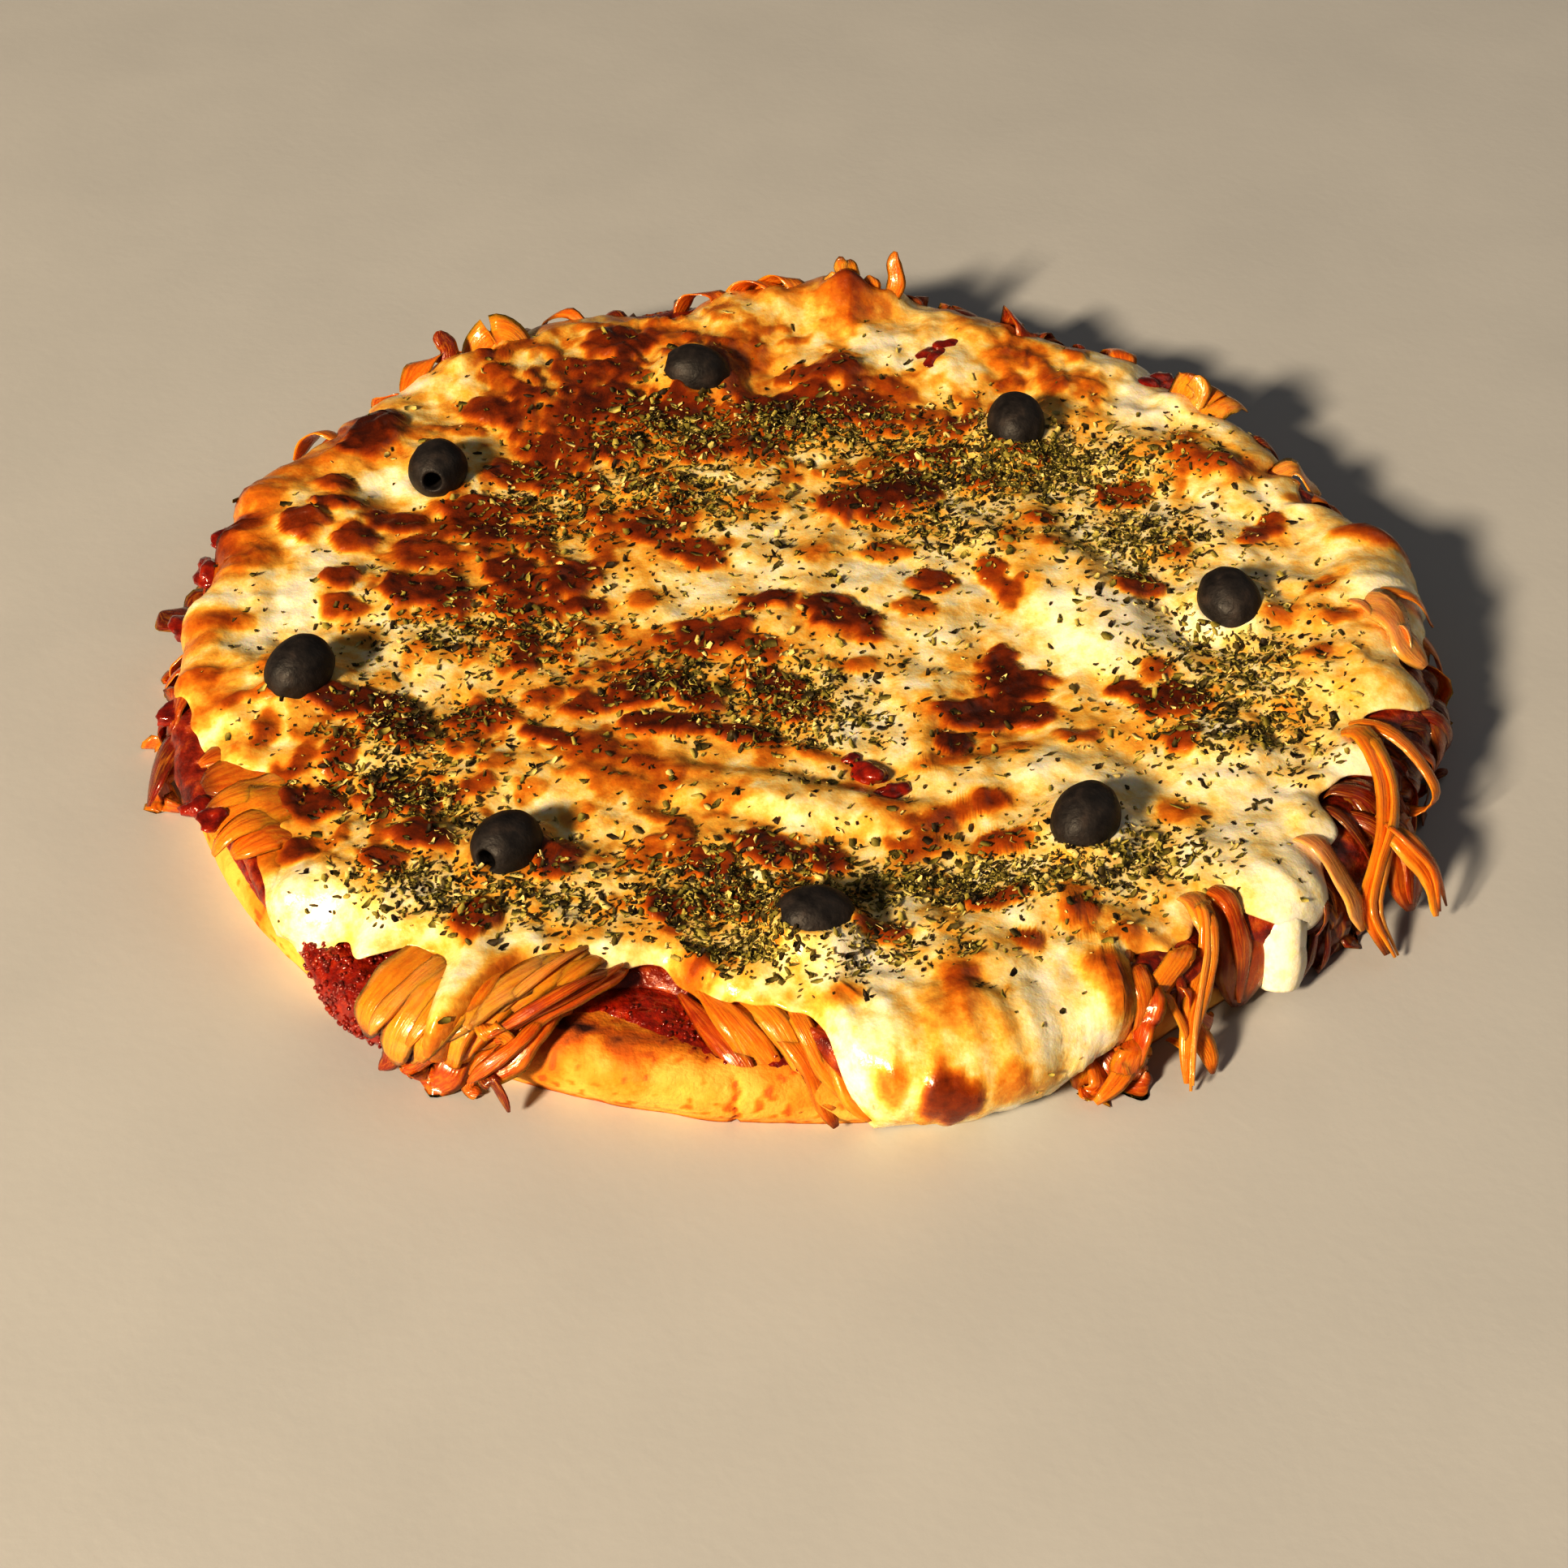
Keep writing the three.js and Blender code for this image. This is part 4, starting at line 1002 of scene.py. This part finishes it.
def make_crust():
    turn = circle(CRUST_SEGMENTS)
    rows = [skin(turn, 0.5 * shoulder_start(turn), np.zeros(CRUST_SEGMENTS))]
    toast_and_shade = [np.full(CRUST_SEGMENTS, 0.1)]
    for distance in np.concatenate([np.linspace(-12, -1, 9), np.linspace(0, CRUST_SIDE, 32)]):
        past = np.full(CRUST_SEGMENTS, distance)
        rows.append(crust_side(turn, past))
        toast_and_shade.append(crust_toast(turn, past))
    foot = rows[-1]
    for share in (0.985, 0.93, 0.8, 0.6, 0.4, 0.2):
        flat = foot * np.array([share, share, 0])
        x, y = flat[:, 0], flat[:, 1]
        rows.append(flat)
        toast_and_shade.append(0.52 + 0.22 * wobble(x, y, 18, 43) + 0.1 * wobble(x, y, 6, 44))
    rings = np.arange(len(rows) * CRUST_SEGMENTS).reshape(len(rows), CRUST_SEGMENTS)
    count = rings.size
    faces = tube_faces(rings) + cap_faces(count, rings[0]) + cap_faces(count + 1, rings[-1], False)
    points = np.concatenate([*rows, [[0, 0, CRUST_HEIGHT], [0, 0, 0]]])
    values = np.concatenate([*toast_and_shade, [0.1, 0.6]])
    make_piece("dough_base", points, faces, crust_look(), ["crust"], {"toast_and_shade": values})


def core_lift(angle, along):
    """Lift of the soaked onion that shows between the strips, whose colour is darkened with painted shade
    """
    x, y = on_pattern(angle, along)
    end = layer_end(ONION_EDGE, angle)
    hidden = 1.6 * (1 - smoothstep(along, end - 16, end - 8)) + lobes(angle, CORE_DIPS)
    matted = 1.1 * wobble(along / 3, CRUST_RADIUS * angle, 3.5, 50) + 0.9 * wobble(x, y, 7, 53)
    return np.maximum(onion_lift(angle, along) - hidden, 0.5) + matted * smoothstep(along, 120, 135)


def make_onion_core():
    shares = np.concatenate([[0.4, 0.75], np.linspace(0.84, 1, 16)])
    points, faces, _, _ = layer_mesh(
        polar_top(CORE_SEGMENTS, shares),
        lambda angle: layer_end(ONION_EDGE, angle, lobes(angle, CORE_NOTCHES)), core_lift,
        lambda angle, along: sauce_lift(angle, along) - 0.3, CORE_EDGE_ROUNDING)
    make_piece("onion_core", points, faces, soaked_and_shaded_core_look(), None)


def rim_paths(rng, stretch):
    """Paths of strips that wander over the rim: each starts near the cheese's edge with a heading, from
    straight down to along the rim, and turns a little as it goes."""
    first, last, count, off, shortest, longest, lean, darkest = stretch
    u = np.linspace(0, 1, STRIP_STEPS)[None, :]
    at = np.radians(rng.uniform(first, last, (count, 1)))
    heading = lean + rng.normal(0, 0.6, (count, 1))
    bend = rng.normal(0, 1.0, (count, 1))
    length = rng.uniform(shortest, longest, (count, 1))
    turn = heading + bend * (u - 0.5)
    rim = at + np.cumsum(np.sin(turn), 1) * length / STRIP_STEPS / CRUST_RADIUS
    down = np.cumsum(np.abs(np.cos(turn)), 1) * length / STRIP_STEPS
    along = cheese_end(at) + rng.uniform(-4, 4, (count, 1)) + down
    ended = np.minimum(along, layer_end(ONION_EDGE, rim) - 3)
    layer = rng.uniform(0, 1, (count, 1)) ** 1.5
    bow = rng.uniform(0.2, 0.8, (count, 1)) * np.sin(math.pi * u)
    buried = 5 * smoothstep(u, 0.7, 1) * (rng.uniform(size=(count, 1)) < 0.75)
    sunk = 5 * (1 - smoothstep(u, 0, 0.3)) + buried
    lift = onion_lift(rim, ended) + off * (layer + bow) - sunk
    # Strips lower in the heap get a darker tint, painted shade under the strips above them
    tint = np.maximum(0.2, darkest - 0.5 * layer[:, 0] + rng.normal(0, 0.12, count))
    return settled(rim, along, lift), tint


def settled(angle, along, lift):
    """Points over the dough's skin that lie on the table where they would hang below it"""
    spare = np.maximum(0, along - shoulder_start(angle) - CRUST_SIDE + 1.5)
    points = skin(angle, along - spare, lift)
    out = np.stack([np.cos(angle), np.sin(angle), np.zeros(np.shape(angle))], -1)
    return points + 0.45 * np.minimum(spare, 12)[..., None] * out


def sheet_path(from_angle, from_past, to_angle, to_past, off):
    """Path of a slice that lies on the onions of the shoulder"""
    u = np.linspace(0, 1, STRIP_STEPS)
    angle = np.radians(from_angle + (to_angle - from_angle) * u)
    along = shoulder_start(angle) + from_past + (to_past - from_past) * u
    return skin(angle, along, onion_lift(angle, along) + off - 2.5 * (1 - smoothstep(u, 0, 0.3)))


def make_onion_strips():
    rng = np.random.default_rng(SEED + 2)
    u = np.linspace(0, 1, STRIP_STEPS)[None, :]
    matted = [rim_paths(rng, stretch) for stretch in STRIP_STRETCHES]
    wandering = np.concatenate([path for path, _ in matted])
    single = np.array([smooth_path(corners, STRIP_STEPS) for _, _, corners in SINGLE_STRIPS.values()])
    own_width, own_tint = (np.array([strip[i] for strip in SINGLE_STRIPS.values()]) for i in (0, 1))
    sheets = np.array([sheet_path(*sheet[2:]) for sheet in SHEETS])
    sheet_width, sheet_tint = (np.array([sheet[i] for sheet in SHEETS]) for i in (0, 1))
    torn = np.repeat([list(SINGLE_STRIPS).index(name) for name in FRAYED], 2)
    aside = rng.normal(0, 1.2, (2, len(torn), 1, 3))
    frayed = single[torn] + aside[0] + aside[1] * u[..., None]
    broad = rng.uniform(size=len(wandering)) < BROAD_SHARE
    widths = [rng.uniform(*limits, len(wandering)) for limits in (BROAD_STRIP, NARROW_STRIP)]
    frayed_width = own_width[torn] * rng.uniform(0.25, 0.5, len(torn))
    widest = np.concatenate([np.where(broad, *widths), own_width, frayed_width, sheet_width])
    flat = np.repeat([1, 0.35, 0.1], [len(wandering), len(single) + len(torn), len(sheets)])[:, None]
    paths = np.concatenate([wandering, single, frayed, sheets])
    count = len(paths)
    taper = 1 - 0.75 * np.abs(2 * u - 1) ** 4
    phase = rng.uniform(0, 6, (2, count, 1))
    waves = 1 + 0.1 * np.sin(9 * u + phase[0]) + 0.05 * np.sin(21 * u + phase[1])
    sway = 0.4 * rng.normal(size=(count, 1, 3))
    paths = paths + sway * np.sin(8 * u + phase[1])[..., None]
    thickness = rng.uniform(0.4, 0.8, (count, 1)) * np.ones_like(u)
    curl = rng.uniform(0.12, 0.6, (count, 1)) * np.maximum(flat, 0.3) ** 0.5 * np.ones_like(u)
    roll = rng.normal(0, 0.4, (count, 1)) * flat + rng.normal(0, 0.9, (count, 1)) * (u - 0.3) * flat
    points, faces, across = ribbons(paths, widest[:, None] * taper * waves, thickness, curl, roll)
    frayed_tint = own_tint[torn] + rng.normal(0, 0.1, len(torn))
    tint = np.concatenate([tint for _, tint in matted] + [own_tint, frayed_tint, sheet_tint])
    tips = smoothstep(u, 0.86, 1.0) * (rng.uniform(size=(count, 1)) < BURNT_SHARE)

    def spread(values):
        return np.repeat(np.broadcast_to(values, (count, STRIP_STEPS))[..., None], across.shape[2], 2)

    values = {"tint": spread(np.clip(tint, 0.02, 0.98)[:, None]), "across": across,
              "run": spread(u * 3), "burnt": spread(0.85 * tips)}
    make_piece("onion_strips", points, faces, onion_look(), ["onions"], values)


def make_olive(number, x, y, heading, look):
    """An olive along +X with its pit hole, turned to its heading"""
    rng = np.random.default_rng(SEED + 100 + number)
    mouth = math.asin(PIT_HOLE_RADIUS / (OLIVE_DIAMETER / 2))
    tilt = np.linspace(0, math.pi - mouth, OLIVE_STATIONS)[1:]
    profile = [(-OLIVE_LENGTH / 2 * math.cos(t), OLIVE_DIAMETER / 2 * math.sin(t)) for t in tilt]
    lip = profile[-1][0]
    profile += [(lip - depth, PIT_HOLE_RADIUS * narrow) for depth, narrow in
                ((0.2, 0.86), (1.0, 0.8), (PIT_HOLE_DEPTH / 2, 0.8), (PIT_HOLE_DEPTH, 0.72))]
    turn = circle(OLIVE_SEGMENTS)
    rows = [np.stack([np.full(OLIVE_SEGMENTS, px), pr * np.cos(turn), pr * np.sin(turn)], -1)
            for px, pr in profile]
    points = np.concatenate([[[-OLIVE_LENGTH / 2, 0, 0]], *rows, [[lip - PIT_HOLE_DEPTH, 0, 0]]])
    uneven = noise_at(points * np.array([0.12, 0.35, 0.35]) + rng.uniform(0, 50))
    points = points * (1 + 0.035 * uneven)[:, None]
    rings = 1 + np.arange(len(rows) * OLIVE_SEGMENTS).reshape(len(rows), OLIVE_SEGMENTS)
    faces = cap_faces(0, rings[0], False) + tube_faces(rings[::-1]) + cap_faces(len(points) - 1, rings[-1])
    low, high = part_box(f"olive_{number}")
    middle = np.array([x, y, (low.z + high.z) / 2 / MM - OLIVE_SETTLED])
    points = spun(spun(points, math.radians(PIT_TILT), 0, 2), math.radians(heading)) + middle
    make_piece(f"black_olive_{number}", points, faces, look, [f"olive_{number}"])


def make_olives():
    look = olive_look()
    for number, (x, y, heading, _) in enumerate(OLIVES, 1):
        make_olive(number, x, y, heading, look)


def herb_places(rng):
    """Places of the oregano on the cheese's flat pattern, clear of the olives"""
    x, y = [], []
    for dx, dy, along, across, count in OREGANO_DRIFTS:
        count = round(OREGANO_SHARE * count)
        wide = np.where(rng.uniform(size=count) < 0.35, 1.3, 0.62)
        x.append(dx + rng.normal(0, along, count) * wide)
        y.append(dy + rng.normal(0, across, count) * wide)
    x, y = np.concatenate(x), np.concatenate(y)
    kept = np.hypot(x, y) < cheese_end(np.arctan2(y, x)) - 3
    for ox, oy, _, _ in OLIVES:
        kept &= np.hypot(x - ox, y - oy) > OLIVE_DIAMETER / 2 + 0.8
    return x[kept], y[kept]


def make_oregano(name, shortest, longest, seed):
    """Bent leaf flakes that lie on the cheese"""
    rng = np.random.default_rng(seed)
    x, y = herb_places(rng)
    count = len(x)
    middle, normal = cheese_frame(x, y)
    normal = unit(normal + 0.3 * rng.normal(size=(count, 3)))
    heading = rng.uniform(0, 2 * math.pi, count)
    across = unit(np.cross(normal, np.stack([np.cos(heading), np.sin(heading), np.zeros(count)], -1)))
    ahead = np.cross(across, normal)
    length = shortest + (longest - shortest) * rng.uniform(size=count) ** 1.8
    width = length * rng.uniform(0.3, 0.75, count)
    bend = rng.uniform(-0.1, 0.35, count) * length
    broad = np.stack([rng.uniform(0.2, 0.8, count), np.ones(count), rng.uniform(0.1, 0.7, count)], -1)
    points = np.zeros((count, 3, 2, 2, 3))
    for s, station in enumerate((-0.5, 0.02, 0.5)):
        rise = 0.25 + bend * (4 * station**2 - 0.4)
        spine = middle + (length * station)[:, None] * ahead + rise[:, None] * normal
        for i, side in enumerate((-0.5, 0.5)):
            for k, depth in enumerate((0.1, -0.1)):
                points[:, s, i, k] = spine + (width * broad[:, s] * side)[:, None] * across + depth * normal
    first = FLAKE_POINTS * np.arange(count)
    faces = (np.array(flake_faces())[None] + first[:, None, None]).reshape(-1, 4).tolist()
    tint = np.repeat(rng.beta(0.9, 1.2, count), FLAKE_POINTS)
    make_piece(name, points.reshape(-1, 3), faces, oregano_look(name), None, {"tint": tint})


def flake_faces():
    """Faces of one flake: two boxes in a row, each with two sides and two depths"""
    at = np.arange(FLAKE_POINTS).reshape(3, 2, 2)
    faces = [at[0].ravel()[[0, 1, 3, 2]].tolist(), at[2].ravel()[[0, 2, 3, 1]].tolist()]
    for a, b in ((at[0], at[1]), (at[1], at[2])):
        faces += [[a[0, 0], b[0, 0], b[1, 0], a[1, 0]], [a[0, 1], a[1, 1], b[1, 1], b[0, 1]],
                  [a[0, 0], a[0, 1], b[0, 1], b[0, 0]], [a[1, 0], b[1, 0], b[1, 1], a[1, 1]]]
    return faces


def make_tomato():
    rng = np.random.default_rng(SEED + 4)
    centres = [place[:3] for place in TOMATO_PIECES]
    radii = [place[3] for place in TOMATO_PIECES]
    points, faces = lumps(centres, radii, (1.15, 0.8, 0.42), rng, rings=14, segments=20, rough=0.6)
    make_piece("tomato_pieces", points, faces, tomato_look("tomato_piece"), None)


# Stage

def heading_vector(heading, elevation):
    turn, rise = math.radians(heading), math.radians(elevation)
    return Vector((math.cos(turn) * math.cos(rise), math.sin(turn) * math.cos(rise), math.sin(rise)))


def make_floor():
    corners = [(FLOOR_HALF * x, FLOOR_HALF * y, 0) for x, y in ((-1, -1), (1, -1), (1, 1), (-1, 1))]
    mesh = bpy.data.meshes.new("floor")
    mesh.from_pydata(corners, [], [(0, 1, 2, 3)])
    mesh.materials.append(floor_look())
    floor = added("floor", mesh)


def make_light(name, heading, elevation, distance, size, power, color):
    data = bpy.data.lights.new(name, "AREA")
    data.size = size
    data.energy = power
    data.color = color
    lamp = added(name, data)
    back = heading_vector(heading, elevation)
    lamp.location = back * distance
    lamp.rotation_euler = back.to_track_quat("Z", "Y").to_euler()


def make_lights():
    make_light("key", *KEY_LIGHT)
    make_light("fill", *FILL_LIGHT)
    world = bpy.data.worlds.new("studio")
    world.use_nodes = True
    background = world.node_tree.nodes["Background"]
    background.inputs["Color"].default_value = SKY_COLOR
    background.inputs["Strength"].default_value = SKY_STRENGTH
    bpy.context.scene.world = world
    view = bpy.context.scene.view_settings
    view.view_transform = "Standard"
    view.exposure = EXPOSURE
    view.gamma = GAMMA


def make_camera():
    data = bpy.data.cameras.new("camera")
    data.lens = LENS
    data.sensor_width = SENSOR
    camera = added("camera", data)
    back = heading_vector(CAMERA_HEADING, CAMERA_ELEVATION)
    camera.location = (Vector(CAMERA_TARGET) + back * CAMERA_DISTANCE) * MM
    camera.rotation_euler = back.to_track_quat("Z", "Y").to_euler()
    bpy.context.scene.camera = camera


def main():
    make_camera()
    make_floor()
    make_lights()
    make_crust()
    make_sauce()
    make_sauce_grains()
    make_onion_core()
    make_onion_strips()
    make_cheese()
    make_olives()
    make_oregano("oregano", *LEAF_LENGTHS, SEED + 3)
    make_oregano("oregano_crumbs", *CRUMB_LENGTHS, SEED + 5)
    make_tomato()


main()
